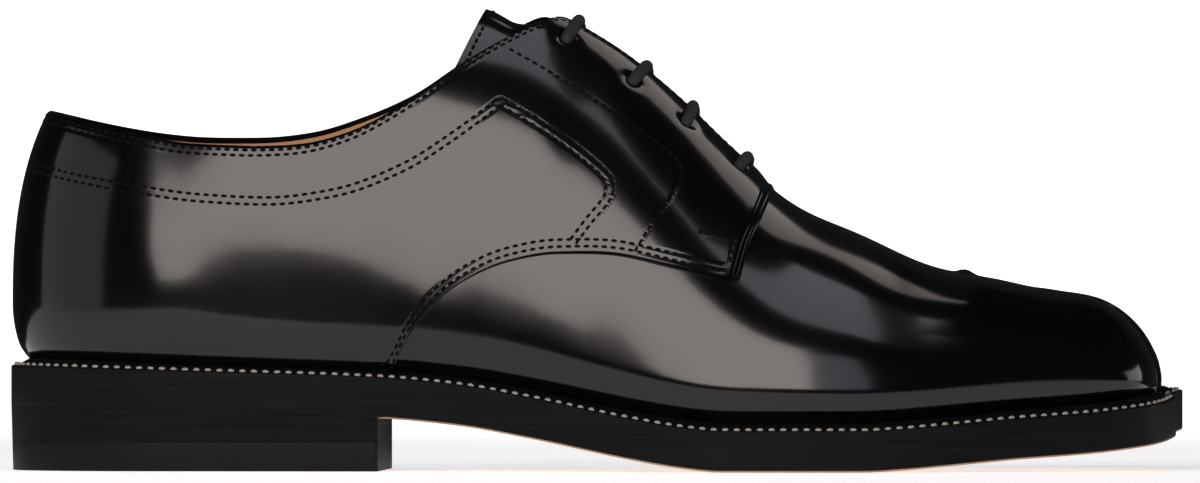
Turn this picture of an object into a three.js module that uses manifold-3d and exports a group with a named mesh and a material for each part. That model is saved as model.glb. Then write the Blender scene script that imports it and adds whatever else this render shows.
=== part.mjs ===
// Split-toe lace-up dress shoe, right foot: leather upper, welted leather sole and stacked heel.
// Millimetres. +X runs from the heel to the toe, +Y to the inner (big toe) side, +Z up.
// The sole stands on Z = 0, and the origin lies under the middle of the shoe's box.
import * as THREE from "three";
import { LoftGeometry } from "three/addons/geometries/LoftGeometry.js";
import { mergeVertices } from "three/addons/utils/BufferGeometryUtils.js";
import Module from "manifold-3d";

const wasm = await Module();
wasm.setup();

// Driving sizes
const shoeLength = 298; // rear of the welt to its furthest point at the toe
const ballWidth = 96.5; // upper at the ball, where it is widest
const instepHeight = 98.4; // top of the instep over the welt
const heelHeight = 16.4; // floor to the outsole, at the rear of the heel
const toeSpring = 8.3; // floor to the outsole, at the tip of the toe
const bigToeLift = 2.2; // how much higher the sole is under the big toe
const weltReach = 5.4; // most that the welt stands out from the foot of the upper
const heelTuck = 3.2; // how far the upper turns in to the welt at the heel
const bellyHeight = 14; // height over the welt where the heel is widest
const wall = 1.7; // vamp leather with its lining
const quarterLeather = 1.2; // outer leather of the quarters
const tongueLeather = 1.8; // tongue with its lining
const outsoleThickness = 6.6; // leather outsole
const weltThickness = 3.4; // welt at its rim
const weltRise = 1.5; // how much higher the welt is where it meets the upper
const footbedRise = 2.2; // how far the insole stands over the welt
const topPieceThickness = 0.445 * heelHeight; // bottom piece of the heel
const flatLiftThickness = 0.244 * heelHeight; // lift between the top piece and the wedge
const heelLength = 0.32 * shoeLength; // rear of the shoe to the heel's front
const heelTaper = 0.7; // how much further in the heel is at the floor
const throatGap = 11; // between the two facings
const throatEnd = 0.638 * shoeLength; // rear of the shoe to the throat's front end
const cleftStart = 0.815 * shoeLength; // rear of the shoe to where the toes part, on top
const cleftSlant = 11; // how much further forward they part at the welt
const cleftGap = 2; // between the toes
const notchStart = 0.9 * shoeLength; // rear of the shoe to the root of the split in the sole
const notchGap = 1.6; // width of the split in the sole
const toeRounding = 13; // rounding of each toe's tip beside the cleft, seen from above
const toeShoulder = 7; // rounding of each toe along the cleft, seen from the front
const laceDiameter = 2.7; // round waxed lace
const eyeletInset = 8.5; // facing's edge to the eyelets
const eyeletHole = laceDiameter + 1.2; // punched hole for the lace
const tongueWidth = 42; // tongue, seen from above
const tongueTop = 0.403 * shoeLength; // rear of the shoe to the tongue's upper edge
const tongueOverlap = 12; // how far the tongue runs on under the vamp
const tongueDip = 3.2; // how much deeper the tongue lies at the top of the facings
const fit = 0.3; // clearance between pieces that touch
const smoothing = 0.03; // facets closer to flat than this are joined
const sky = 220; // well over the shoe
const clear = 20; // how far a cutting body runs on past what it cuts
const skirt = 5; // how far a wall is drawn down before it is cut off over the welt

// The upper's sections, from the back of the heel to the tip of the big toe.
// at: place along the length. outer, inner: half widths, as shares of the ball width.
// spine: place along the length of the section's top. lean: how far that top lies inwards.
// top: its height over the welt, as a share of the instep height.
const sections = [
  { at: 0.0054, outer: 0, inner: 0, spine: 0.128, lean: 0, top: 0.849 },
  { at: 0.0141, outer: 0.119, inner: 0.119, spine: 0.128, lean: 0, top: 0.849 },
  { at: 0.0369, outer: 0.217, inner: 0.217, spine: 0.128, lean: 0, top: 0.849 },
  { at: 0.0738, outer: 0.289, inner: 0.286, spine: 0.128, lean: 0, top: 0.849 },
  { at: 0.1275, outer: 0.324, inner: 0.319, spine: 0.128, lean: 0, top: 0.849 },
  { at: 0.2013, outer: 0.33, inner: 0.315, spine: 0.201, lean: 0.005, top: 0.881 },
  { at: 0.2852, outer: 0.335, inner: 0.296, spine: 0.285, lean: 0.01, top: 0.945 },
  { at: 0.3624, outer: 0.361, inner: 0.288, spine: 0.362, lean: 0.021, top: 0.995 },
  { at: 0.4362, outer: 0.402, inner: 0.307, spine: 0.436, lean: 0.031, top: 1 },
  { at: 0.5034, outer: 0.448, inner: 0.35, spine: 0.503, lean: 0.041, top: 0.943 },
  { at: 0.5638, outer: 0.489, inner: 0.402, spine: 0.564, lean: 0.052, top: 0.834 },
  { at: 0.6174, outer: 0.516, inner: 0.446, spine: 0.617, lean: 0.057, top: 0.693 },
  { at: 0.6711, outer: 0.524, inner: 0.476, spine: 0.671, lean: 0.062, top: 0.558 },
  { at: 0.7282, outer: 0.514, inner: 0.487, spine: 0.728, lean: 0.073, top: 0.484 },
  { at: 0.7886, outer: 0.481, inner: 0.481, spine: 0.789, lean: 0.083, top: 0.39 },
  { at: 0.8456, outer: 0.427, inner: 0.465, spine: 0.839, lean: 0.104, top: 0.348 },
  { at: 0.896, outer: 0.363, inner: 0.442, spine: 0.866, lean: 0.124, top: 0.322 },
  { at: 0.9362, outer: 0.29, inner: 0.41, spine: 0.866, lean: 0.124, top: 0.322 },
  { at: 0.9648, outer: 0.207, inner: 0.373, spine: 0.866, lean: 0.124, top: 0.322 },
  { at: 0.9765, outer: 0.083, inner: 0.33, spine: 0.866, lean: 0.124, top: 0.322 },
  { at: 0.9829, outer: -0.192, inner: 0.192, spine: 0.866, lean: 0.124, top: 0.322 },
];

// How full the sections are. at: place along the length. wide: height of the widest part, as a
// share of the heel's. crest, side: powers of the curve, low is peaked and high is full.
// tuck, reach: shares of the heel's tuck and of the welt's reach.
const fullness = [
  { at: 0, wide: 1, crest: 2.45, side: 2, tuck: 1, reach: 0.89 },
  { at: 0.128, wide: 1, crest: 2.45, side: 2, tuck: 0.9, reach: 0.85 },
  { at: 0.201, wide: 0.93, crest: 2.9, side: 2, tuck: 0.75, reach: 0.8 },
  { at: 0.285, wide: 0.86, crest: 2.6, side: 2, tuck: 0.65, reach: 0.78 },
  { at: 0.362, wide: 0.86, crest: 1.9, side: 2, tuck: 0.6, reach: 0.78 },
  { at: 0.436, wide: 0.86, crest: 1.45, side: 2.05, tuck: 0.6, reach: 0.82 },
  { at: 0.503, wide: 0.79, crest: 1.25, side: 2.1, tuck: 0.55, reach: 0.88 },
  { at: 0.617, wide: 0.64, crest: 1.35, side: 2.15, tuck: 0.5, reach: 0.95 },
  { at: 0.728, wide: 0.57, crest: 1.6, side: 2.3, tuck: 0.5, reach: 0.96 },
  { at: 0.866, wide: 0.57, crest: 1.68, side: 2.6, tuck: 0.38, reach: 0.92 },
  { at: 0.936, wide: 0.43, crest: 1.68, side: 2.6, tuck: 0.3, reach: 0.88 },
  { at: 0.976, wide: 0.15, crest: 1.68, side: 2.6, tuck: 0.12, reach: 0.78 },
  { at: 0.983, wide: 0.11, crest: 1.68, side: 2.6, tuck: 0.08, reach: 1 },
];

// The outsole's underside. at: place along the length. heel, spring: shares of the heel height
// and of the toe spring, which add up to its height over the floor. It is flat under the ball.
const underside = [
  { at: 0, heel: 1, spring: 0 },
  { at: 0.168, heel: 0.909, spring: 0 },
  { at: 0.319, heel: 0.817, spring: 0 },
  { at: 0.386, heel: 0.707, spring: 0 },
  { at: 0.453, heel: 0.494, spring: 0 },
  { at: 0.52, heel: 0.238, spring: 0 },
  { at: 0.564, heel: 0.091, spring: 0 },
  { at: 0.59, heel: 0.028, spring: 0 },
  { at: 0.61, heel: 0, spring: 0 },
  { at: 0.73, heel: 0, spring: 0 },
  { at: 0.758, heel: 0, spring: 0.05 },
  { at: 0.792, heel: 0, spring: 0.155 },
  { at: 0.846, heel: 0, spring: 0.34 },
  { at: 0.923, heel: 0, spring: 0.61 },
  { at: 1, heel: 0, spring: 1 },
];

// The topline of the collar and the round top of the facings, as heights over the welt.
// at: place along the length. outer, inner: shares of the instep height on the two sides.
const topline = [
  { at: 0.027, outer: 0.649, inner: 0.649 },
  { at: 0.083, outer: 0.605, inner: 0.619 },
  { at: 0.126, outer: 0.58, inner: 0.606 },
  { at: 0.159, outer: 0.561, inner: 0.594 },
  { at: 0.21, outer: 0.553, inner: 0.597 },
  { at: 0.252, outer: 0.562, inner: 0.607 },
  { at: 0.295, outer: 0.605, inner: 0.649 },
  { at: 0.337, outer: 0.681, inner: 0.722 },
  { at: 0.379, outer: 0.785, inner: 0.818 },
  { at: 0.426, outer: 0.892, inner: 0.922 },
  { at: 0.46, outer: 0.957, inner: 0.982 },
  { at: 0.48, outer: 0.988, inner: 1.016 },
  { at: 0.51, outer: 1.105, inner: 1.135 },
];

// The quarter's lower and front edge, from the welt behind the waist up to the vamp's ridge.
// at: place along the length. rise: height over the welt, as a share of the instep height.
const quarterEdge = [
  { at: 0.338, rise: -0.06 },
  { at: 0.344, rise: 0.02 },
  { at: 0.361, rise: 0.131 },
  { at: 0.384, rise: 0.22 },
  { at: 0.395, rise: 0.25 },
  { at: 0.428, rise: 0.319 },
  { at: 0.471, rise: 0.367 },
  { at: 0.53, rise: 0.397 },
  { at: 0.575, rise: 0.389 },
  { at: 0.617, rise: 0.372 },
  { at: 0.626, rise: 0.378 },
  { at: 0.632, rise: 0.452 },
  { at: 0.641, rise: 0.522 },
  { at: 0.649, rise: 0.599 },
  { at: 0.66, rise: 0.72 },
];

// Where the lace crosses the throat. at: the eyelets' place along the length.
const eyelets = [{ at: 0.474 }, { at: 0.529 }, { at: 0.573 }, { at: 0.62 }];

// A smooth curve through the values of a table's column, which never overshoots them
function smooth(places, values, place) {
  const last = places.length - 1;
  const held = THREE.MathUtils.clamp(place, places[0], places[last]);
  let i = 0;
  while (i < last - 1 && places[i + 1] < held) i += 1;
  const slope = (k) => (values[k + 1] - values[k]) / (places[k + 1] - places[k]);
  const bend = (k) => {
    if (k === 0) return slope(0);
    if (k === last) return slope(last - 1);
    const before = slope(k - 1);
    const after = slope(k);
    return before * after > 0 ? (2 * before * after) / (before + after) : 0;
  };
  const span = places[i + 1] - places[i];
  const s = (held - places[i]) / span;
  const pull = bend(i) * (s ** 3 - 2 * s ** 2 + s) + bend(i + 1) * (s ** 3 - s ** 2);
  return values[i] + (values[i + 1] - values[i]) * (3 * s ** 2 - 2 * s ** 3) + pull * span;
}

// A column of a table whose rows are places along the length
function along(table, column, x) {
  const places = table.map((row) => row.at * shoeLength);
  const values = table.map((row) => row[column]);
  return smooth(places, values, x);
}

// Rows of the sections' table: the collar's rear and front, the ball, and where the toes round off
const collarRow = 4;
const facingRow = 6;
const ballRow = 12;
const toeRow = 16;

// The upper's outline is one loop: row -tip to 0 on the outer side, and 0 to tip on the inner
const tip = sections.length - 1;
const loop = [];
for (let row = -tip - 1; row <= tip + 1; row += 1) {
  const turned = Math.abs(row) > tip ? Math.sign(row) * -(tip - 1) : row;
  const { at, outer, inner } = sections[Math.abs(turned)];
  const y = (turned < 0 ? -outer : inner) * ballWidth;
  loop.push({ row, x: at * shoeLength, y });
}
const loopRows = loop.map((point) => point.row);
const loopX = loop.map((point) => point.x);
const loopY = loop.map((point) => point.y);

// A point of that outline, moved outwards square to it
function outline(row, outwards) {
  const step = 0.02;
  const at = (r) => {
    const turned = Math.abs(r) > tip ? r - Math.sign(r) * 2 * tip : r;
    return new THREE.Vector2(smooth(loopRows, loopX, turned), smooth(loopRows, loopY, turned));
  };
  const along = at(row + step).sub(at(row - step)).normalize();
  return at(row).add(new THREE.Vector2(-along.y, along.x).multiplyScalar(outwards));
}

// A column of the sections' table between its rows
function section(column, row) {
  const rows = sections.map((_, index) => index);
  const values = sections.map((each) => each[column]);
  return smooth(rows, values, Math.abs(row));
}

// How high the outsole's underside lies over the floor. Over the front 15 % of the length it
// tilts up towards the inner side, level at 10 % of the ball's width outside the middle line.
function undersideHeight(x, y) {
  const heel = along(underside, "heel", x) * heelHeight;
  const spring = along(underside, "spring", x) * toeSpring;
  const forward = THREE.MathUtils.clamp((x / shoeLength - 0.85) / 0.15, 0, 1) ** 1.5;
  const inwards = (y / ballWidth + 0.1) / 0.4;
  return heel + spring + bigToeLift * forward * inwards;
}
const outsoleTop = (x, y) => undersideHeight(x, y) + outsoleThickness;
const weltFoot = (x, y) => outsoleTop(x, y) + fit;
const weltTop = (x, y) => weltFoot(x, y) + weltThickness + weltRise;
const weltHeight = (x) => weltTop(x, 0);

// The plan point over which a section closes, and the section's height there
function spine(row) {
  const x = section("spine", row) * shoeLength;
  const y = section("lean", row) * ballWidth;
  return new THREE.Vector3(x, y, weltTop(x, y) + section("top", row) * instepHeight);
}

// The last's surface: rise is -1 at the welt, 0 at the widest part and 1 at the top
function skin(row, rise, outwards) {
  const edge = outline(row, 0);
  const tuck = along(fullness, "tuck", edge.x) * heelTuck;
  const foot = weltTop(edge.x, edge.y) + fit;
  const belly = foot + along(fullness, "wide", edge.x) * bellyHeight;
  if (rise <= 0) {
    const plan = outline(row, outwards - tuck * rise ** 2);
    return new THREE.Vector3(plan.x, plan.y, belly + (foot - belly) * -rise);
  }
  const angle = (rise * Math.PI) / 2;
  const up = Math.sin(angle) ** (2 / along(fullness, "crest", edge.x));
  const across = rise === 1 ? 0 : Math.cos(angle) ** (2 / along(fullness, "side", edge.x));
  const top = spine(row);
  const plan = outline(row, outwards);
  return new THREE.Vector3(
    top.x + (plan.x - top.x) * across,
    top.y + (plan.y - top.y) * across,
    belly + (top.z + outwards - belly) * up,
  );
}

// Rows of the lofts, twice as close as the table's
const lofted = [];
for (let row = 0; row <= tip; row += 0.5) lofted.push(row);

// Steps up a section, closer at the welt and over the top
const rises = [-1, -0.5, 0, 0.2, 0.38, 0.54, 0.69, 0.82, 0.92, 1];

// A closed geometry as a solid that can be cut and joined
function solid(geometry) {
  const bare = new THREE.BufferGeometry();
  const loose = geometry.index ? geometry.toNonIndexed() : geometry;
  bare.setAttribute("position", loose.getAttribute("position"));
  const merged = mergeVertices(bare, 1e-3);
  const corners = merged.index.array;
  const faces = [];
  for (let i = 0; i < corners.length; i += 3) {
    const [a, b, c] = corners.slice(i, i + 3);
    if (a !== b && b !== c && c !== a) faces.push(a, b, c);
  }
  const vertProperties = merged.getAttribute("position").array;
  const triVerts = new Uint32Array(faces);
  return new wasm.Manifold(new wasm.Mesh({ numProp: 3, vertProperties, triVerts }));
}

// A solid as a geometry
function geometryOf(body) {
  const { vertProperties, triVerts } = body.getMesh();
  const geometry = new THREE.BufferGeometry();
  geometry.setAttribute("position", new THREE.BufferAttribute(vertProperties, 3));
  geometry.setIndex(new THREE.BufferAttribute(triVerts, 1));
  geometry.computeVertexNormals();
  return geometry;
}

// The last, grown or shrunk, with its foot drawn down past the welt
function lastBody(outwards, drop, dip = () => 0) {
  const rings = lofted.map((row) => {
    const side = (sign) => {
      const points = rises.map((rise) => skin(sign * row, rise, outwards - dip(row)));
      const foot = points[0].clone();
      foot.z -= drop;
      return [foot, ...points];
    };
    return [...side(1), ...side(-1).reverse().slice(1)];
  });
  return solid(new LoftGeometry(rings));
}

// A plate that follows the sole. reach(row) moves its rim out, low and high give its faces.
function plate(reachLow, reachHigh, low, high) {
  const rings = lofted.map((row) => {
    const corner = (side, reach, height) => {
      const plan = outline(side, reach(outline(side, 0).x));
      return new THREE.Vector3(plan.x, plan.y, height(plan.x, plan.y));
    };
    return [
      corner(-row, reachLow, low),
      corner(row, reachLow, low),
      corner(row, reachHigh, high),
      corner(-row, reachHigh, high),
    ];
  });
  return solid(new LoftGeometry(rings));
}

// Outline offsets from the upper's widest line
const tuckAt = (x) => along(fullness, "tuck", x) * heelTuck;
const rimReach = (x) => along(fullness, "reach", x) * weltReach - tuckAt(x);
const innerReach = (x) => -tuckAt(x) - wall;

// All that lies under the upper, with the clearance that it keeps to the welt
function ground() {
  const wider = (x) => rimReach(x) + 2;
  return plate(wider, wider, () => -sky, (x, y) => weltTop(x, y) + fit);
}

// The line in plan that the cleft follows, and the height of the upper over it
const cleftLine = (x) => ballWidth * (0.056 + 0.25 * (x / shoeLength - 0.8));
function cleftCrown(x) {
  const centre = spine(tip);
  const rows = sections.map((_, row) => row).filter((row) => row >= ballRow && row <= toeRow);
  const tops = rows.map((row) => spine(row));
  if (x <= centre.x) return smooth(tops.map((top) => top.x), tops.map((top) => top.z), x);
  const toe = skin(tip, 0, 0);
  const across = Math.min((x - centre.x) / (toe.x - centre.x), 1);
  const { crest, side } = fullness[fullness.length - 1];
  return toe.z + (centre.z - toe.z) * (1 - across ** side) ** (1 / crest);
}

// A quarter round: 0 before it starts, rising to 1 with a square end
const quarterRound = (share) => 1 - Math.sqrt(1 - THREE.MathUtils.clamp(share, 0, 1) ** 2);

// The space between the toes, grown by a margin all round
function split({ start, slant, gap, reach, margin }) {
  const shares = [0, 0.015, 0.05, 0.12, 0.24, 0.38, 0.52, 0.64, 0.74, 0.82, 0.9, 1];
  const levels = [0, 0.5, 0.72, 0.84, 0.93, 0.98, 1];
  const front = shoeLength + weltReach;
  const tips = { outer: outline(1 - tip, reach).x, inner: outline(tip, reach).x };
  const rings = shares.map((share) => {
    const station = THREE.MathUtils.lerp(start, front, share);
    const welt = weltHeight(station);
    const crown = cleftCrown(station);
    const point = (z, sign) => {
      const depth = THREE.MathUtils.clamp((crown - z) / (crown - welt), 0, 1);
      const root = start - margin + slant * depth;
      const x = THREE.MathUtils.lerp(root, front, share);
      const open = Math.min(1, Math.sqrt((x - root) / (2 * gap)));
      const grown = THREE.MathUtils.smoothstep(x - root, 0, 3 * toeShoulder);
      const over = quarterRound((z + margin - crown) / toeShoulder + 1) * toeShoulder * grown;
      const toeTip = sign < 0 ? tips.outer : tips.inner;
      const round = quarterRound((x - toeTip) / toeRounding + 1) * toeRounding;
      const half = (gap / 2 + margin) * open + (share > 0 ? over + round : 0);
      return new THREE.Vector3(x, cleftLine(x) + sign * half, z);
    };
    const brow = Math.max(crown - margin, welt + 1);
    const heights = levels.map((level) => THREE.MathUtils.lerp(welt, brow, level));
    heights.unshift(-sky);
    heights.push(sky);
    const right = heights.map((z) => point(z, 1));
    const left = heights.map((z) => point(z, -1));
    return [...right, ...left.reverse()];
  });
  return solid(new LoftGeometry(rings, { capEnd: true }));
}

// The cleft between the toes of the upper, and the split in the sole
const cleft = { start: cleftStart, slant: cleftSlant, gap: cleftGap, reach: 0, margin: 0 };
const notch = { start: notchStart, slant: 0, gap: notchGap, reach: weltReach * 0.8, margin: 0 };

// A block that stands on a curve drawn in side view, from one side of the shoe to its middle
function sideBlock(curve, sign) {
  const options = { depth: ballWidth, bevelEnabled: false };
  const block = new THREE.ExtrudeGeometry(new THREE.Shape(curve), options);
  block.rotateX(Math.PI / 2);
  if (sign > 0) block.translate(0, ballWidth, 0);
  return solid(block);
}

// The points of a table drawn in side view
function sideCurve(table, column) {
  return table.map((row) => {
    const x = row.at * shoeLength;
    return new THREE.Vector2(x, weltHeight(x) + row[column] * instepHeight);
  });
}

// All that lies over the topline, on one side
function overCollar(sign) {
  const line = sideCurve(topline, sign < 0 ? "outer" : "inner");
  const first = line[0];
  const last = line[line.length - 1];
  const curve = new THREE.SplineCurve([new THREE.Vector2(-clear, first.y), ...line]);
  const corners = [new THREE.Vector2(last.x, sky), new THREE.Vector2(-clear, sky)];
  return sideBlock([...curve.getPoints(26), ...corners], sign);
}

// All that lies behind and over the quarter's lower and front edge, on one side
function overQuarterEdge(sign) {
  const line = sideCurve(quarterEdge, "rise");
  const first = line[0];
  const last = line[line.length - 1];
  const curve = new THREE.SplineCurve(line);
  const corners = [new THREE.Vector2(last.x, sky), new THREE.Vector2(-clear, sky)];
  corners.push(new THREE.Vector2(-clear, first.y));
  return sideBlock([...curve.getPoints(30), ...corners], sign);
}

// All that lies on one side of the line that the tops of the sections follow
function sideHalf(sign, gap) {
  const line = [];
  for (let row = collarRow; row <= ballRow + 1; row += 1) line.push(spine(row));
  const rear = { x: -clear, y: 0 };
  const edge = [rear, ...line].map(({ x, y }) => new THREE.Vector2(x, y + (sign * gap) / 2));
  const far = edge[edge.length - 1].x;
  edge.push(new THREE.Vector2(far, sign * ballWidth), new THREE.Vector2(rear.x, sign * ballWidth));
  return solid(new THREE.ExtrudeGeometry(new THREE.Shape(edge), { depth: sky, bevelEnabled: false }));
}

// The open throat between the facings: a slot along the spine, with a round front end
function throat(gap, end) {
  const rear = spine(facingRow);
  const front = spine(ballRow - 1);
  const angle = Math.atan2(front.y - rear.y, front.x - rear.x);
  const length = (end - rear.x) / Math.cos(angle);
  const shape = new THREE.Shape();
  shape.moveTo(0, -gap / 2);
  shape.lineTo(length - gap / 2, -gap / 2);
  shape.absarc(length - gap / 2, 0, gap / 2, -Math.PI / 2, Math.PI / 2, false);
  shape.lineTo(0, gap / 2);
  const options = { depth: sky, bevelEnabled: false, curveSegments: 4 };
  const slot = new THREE.ExtrudeGeometry(shape, options);
  slot.rotateZ(angle);
  slot.translate(rear.x, rear.y, weltHeight(end) + 0.2 * instepHeight);
  return solid(slot);
}

// A point of the quarters' face over the throat, a distance from the spine to either side
function facePoint(x, sideways, outwards) {
  const row = smooth(sections.map((each) => each.at * shoeLength), sections.map((_, i) => i), x);
  const top = spine(row);
  const sign = Math.sign(sideways) || 1;
  const edge = outline(sign * row, outwards);
  const across = Math.abs(sideways) / Math.abs(edge.y - top.y);
  const belly = skin(sign * row, 0, outwards).z;
  const up = (1 - across ** along(fullness, "side", x)) ** (1 / along(fullness, "crest", x));
  return new THREE.Vector3(x, top.y + sideways, belly + (top.z + outwards - belly) * up);
}

// The direction square to that face, and a point over it
function faceNormal(x, sideways) {
  const here = facePoint(x, sideways, 0);
  const ahead = facePoint(x + 1, sideways, 0).sub(here);
  const aside = facePoint(x, sideways + 1, 0).sub(here);
  return ahead.cross(aside).normalize();
}
function overFace(x, sideways, height) {
  return facePoint(x, sideways, 0).add(faceNormal(x, sideways).multiplyScalar(height));
}

// How far the middle of a lace bar lies ahead of its eyelets, when it crosses the instep squarely
function barLead(x) {
  const eyelet = facePoint(x, -throatGap / 2 - eyeletInset, 0);
  let lead = 0;
  for (let turn = 0; turn < 8; turn += 1) {
    const top = facePoint(x + lead, 0, 0);
    const ahead = facePoint(x + lead + 1, 0, 0);
    const slope = top.z - ahead.z;
    lead = (top.z - eyelet.z) * slope;
  }
  return lead;
}

// The eyelet holes through the facings
function eyeletHoles() {
  const half = throatGap / 2 + eyeletInset;
  const radius = eyeletHole / 2;
  const holes = [];
  for (const { at } of eyelets) {
    for (const sign of [-1, 1]) {
      const x = at * shoeLength;
      const hole = new THREE.CylinderGeometry(radius, radius, 6 * wall, 8);
      const up = new THREE.Vector3(0, 1, 0);
      const square = faceNormal(x, sign * half);
      hole.applyQuaternion(new THREE.Quaternion().setFromUnitVectors(up, square));
      hole.translate(...facePoint(x, sign * half, 0).toArray());
      holes.push(solid(hole));
    }
  }
  return holes.reduce((all, hole) => all.add(hole));
}

// A piece's node
const shoe = new THREE.Group();
function addPiece(name, body, colour, roughness) {
  const material = new THREE.MeshStandardMaterial({ color: colour, roughness, metalness: 0 });
  const piece = new THREE.Mesh(geometryOf(body.simplify(smoothing)), material);
  piece.name = name;
  shoe.add(piece);
}

// The sole: outsole, welt and insole
function makeSole() {
  const outsole = plate(rimReach, rimReach, undersideHeight, outsoleTop);
  addPiece("outsole", outsole.subtract(split(notch)), 0x26262a, 0.45);

  const rim = [];
  for (let row = -tip; row < tip; row += 0.5) {
    const at = (reach, height) => {
      const plan = outline(row, reach);
      return new THREE.Vector3(plan.x, plan.y, weltFoot(plan.x, plan.y) + height);
    };
    const { x } = outline(row, 0);
    rim.push([
      at(innerReach(x), 0),
      at(rimReach(x), 0),
      at(rimReach(x), weltThickness),
      at(-tuckAt(x) + fit, weltThickness + weltRise),
      at(innerReach(x), weltThickness + weltRise),
    ]);
  }
  const strip = solid(new LoftGeometry([...rim, rim[0]]));
  const low = (x, y) => weltFoot(x, y) + fit / 2;
  const high = (x, y) => weltTop(x, y) - fit / 2;
  const between = plate(innerReach, innerReach, low, high).intersect(split({ ...cleft, margin: wall }));
  addPiece("welt", strip.add(between).subtract(split(notch)), 0x1d1d20, 0.5);

  const within = (x) => innerReach(x) - fit;
  const bed = plate(within, within, weltFoot, (x, y) => weltTop(x, y) + footbedRise);
  const kept = split({ ...cleft, margin: wall + fit });
  addPiece("insole", bed.subtract(kept), 0xb98a5e, 0.7);
}

// The heel: a wedge lift under the outsole, a flat lift and the top piece
function makeHeel() {
  const flat = (height) => () => height;
  const box = new THREE.BoxGeometry(2 * heelLength, 2 * ballWidth, 2 * instepHeight);
  const rear = solid(box);
  const reachAt = (height) => (x) => rimReach(x) - heelTaper * (1 - height / heelHeight);
  const liftFoot = topPieceThickness + fit;
  const liftTop = liftFoot + flatLiftThickness;
  const wedgeFoot = liftTop + fit;
  const layer = (name, from, to, high) => {
    const whole = plate(reachAt(from), reachAt(to), flat(from), high);
    addPiece(name, whole.intersect(rear), 0x242427, 0.5);
  };
  layer("heel_top_piece", 0, topPieceThickness, flat(topPieceThickness));
  layer("heel_lift_2", liftFoot, liftTop, flat(liftTop));
  layer("heel_lift_1", wedgeFoot, heelHeight, (x, y) => undersideHeight(x, y) - fit);
}

// The upper: one hollow wall round the foot, open at the collar, the throat and underneath
function makeUpper() {
  const outside = lastBody(0, skirt).subtract(split(cleft));
  const inside = lastBody(-wall, 2 * skirt).subtract(split({ ...cleft, margin: wall }));
  const open = overCollar(-1).add(overCollar(1)).add(throat(throatGap + 2, throatEnd - 1));
  const hollow = outside.subtract(inside).subtract(open).subtract(ground());
  addPiece("upper", hollow.subtract(eyeletHoles()), 0x1b1b1e, 0.25);
}

// The quarters, laid over the upper from the heel to the front of the throat
function makeQuarters() {
  const both = lastBody(fit + quarterLeather, skirt).subtract(lastBody(fit, 2 * skirt));
  const leather = both.subtract(ground());
  for (const [name, sign] of [["quarter_outer_side", -1], ["quarter_inner_side", 1]]) {
    const wider = (block) => block.add(block.translate([0, -sign * clear, 0]));
    const half = leather.intersect(sideHalf(sign, fit)).intersect(wider(overQuarterEdge(sign)));
    const low = half.subtract(wider(overCollar(sign)));
    const panel = low.subtract(throat(throatGap, throatEnd));
    addPiece(name, panel.subtract(eyeletHoles()), 0x1b1b1e, 0.22);
  }
}

// The tongue: a strip of the last's surface under the facings, cut square at its top
function makeTongue() {
  const dip = (row) => {
    const x = section("spine", row) * shoeLength;
    const share = THREE.MathUtils.clamp((x - tongueTop) / (throatEnd - tongueTop), 0, 1);
    return tongueDip * Math.sin(Math.PI * Math.sqrt(share));
  };
  const face = -wall - fit;
  const inner = lastBody(face - tongueLeather, 2 * skirt, dip);
  const sheet = lastBody(face, skirt, dip).subtract(inner);
  const strip = sheet.intersect(throat(tongueWidth, throatEnd + tongueOverlap));
  const here = facePoint(tongueTop, 0, face);
  const ahead = facePoint(throatEnd, 0, face);
  const behind = new THREE.BoxGeometry(sky, sky, sky * 2);
  behind.translate(-sky / 2, 0, 0);
  behind.rotateY(Math.atan2(here.z - ahead.z, ahead.x - here.x));
  behind.translate(here.x, 0, here.z);
  addPiece("tongue", strip.subtract(solid(behind)), 0x4a4847, 0.3);
}

// The lace: a bar at each pair of eyelets, square to the instep, with its ends in the holes
function makeLace() {
  const half = throatGap / 2 + eyeletInset;
  const face = fit + quarterLeather;
  const over = face + 2 * fit + laceDiameter / 2;
  eyelets.forEach(({ at }, index) => {
    const x = at * shoeLength;
    const lead = barLead(x);
    const points = [overFace(x, -half, -wall / 2), overFace(x, -half, face + fit)];
    for (const share of [-0.76, -0.4, 0, 0.4, 0.76]) {
      points.push(overFace(x + lead * (1 - share ** 2), share * half, over));
    }
    points.push(overFace(x, half, face + fit), overFace(x, half, -wall / 2));
    const path = new THREE.CatmullRomCurve3(points);
    const round = new THREE.Shape().absarc(0, 0, laceDiameter / 2, 0, 2 * Math.PI, false);
    const options = { steps: 12, curveSegments: 4, bevelEnabled: false, extrudePath: path };
    const bar = solid(new THREE.ExtrudeGeometry(round, options));
    addPiece(`lace_bar_${index + 1}`, bar, 0x3a3638, 0.4);
  });
}

makeSole();
makeHeel();
makeUpper();
makeQuarters();
makeTongue();
makeLace();

const box = new THREE.Box3().setFromObject(shoe);
const middle = box.getCenter(new THREE.Vector3());
shoe.position.set(-middle.x, -middle.y, 0);

export default shoe;
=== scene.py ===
# %% [markdown]
# A split-toe lace-up shoe for a right foot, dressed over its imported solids.
# The solids come in first and stay where they are. A shoe could be sculpted by eye over them,
# but polished leather shows every dent of that. Here every new piece is laid on one smooth last
# instead, so it needs no fitting. All sizes are millimetres from the rear of the sole, and one
# small step at the end of each piece moves them to metres in the frame of the solids.

# %% The frame
import bpy
import numpy as np
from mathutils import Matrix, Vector
from mathutils.bvhtree import BVHTree
from mathutils.kdtree import KDTree


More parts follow.
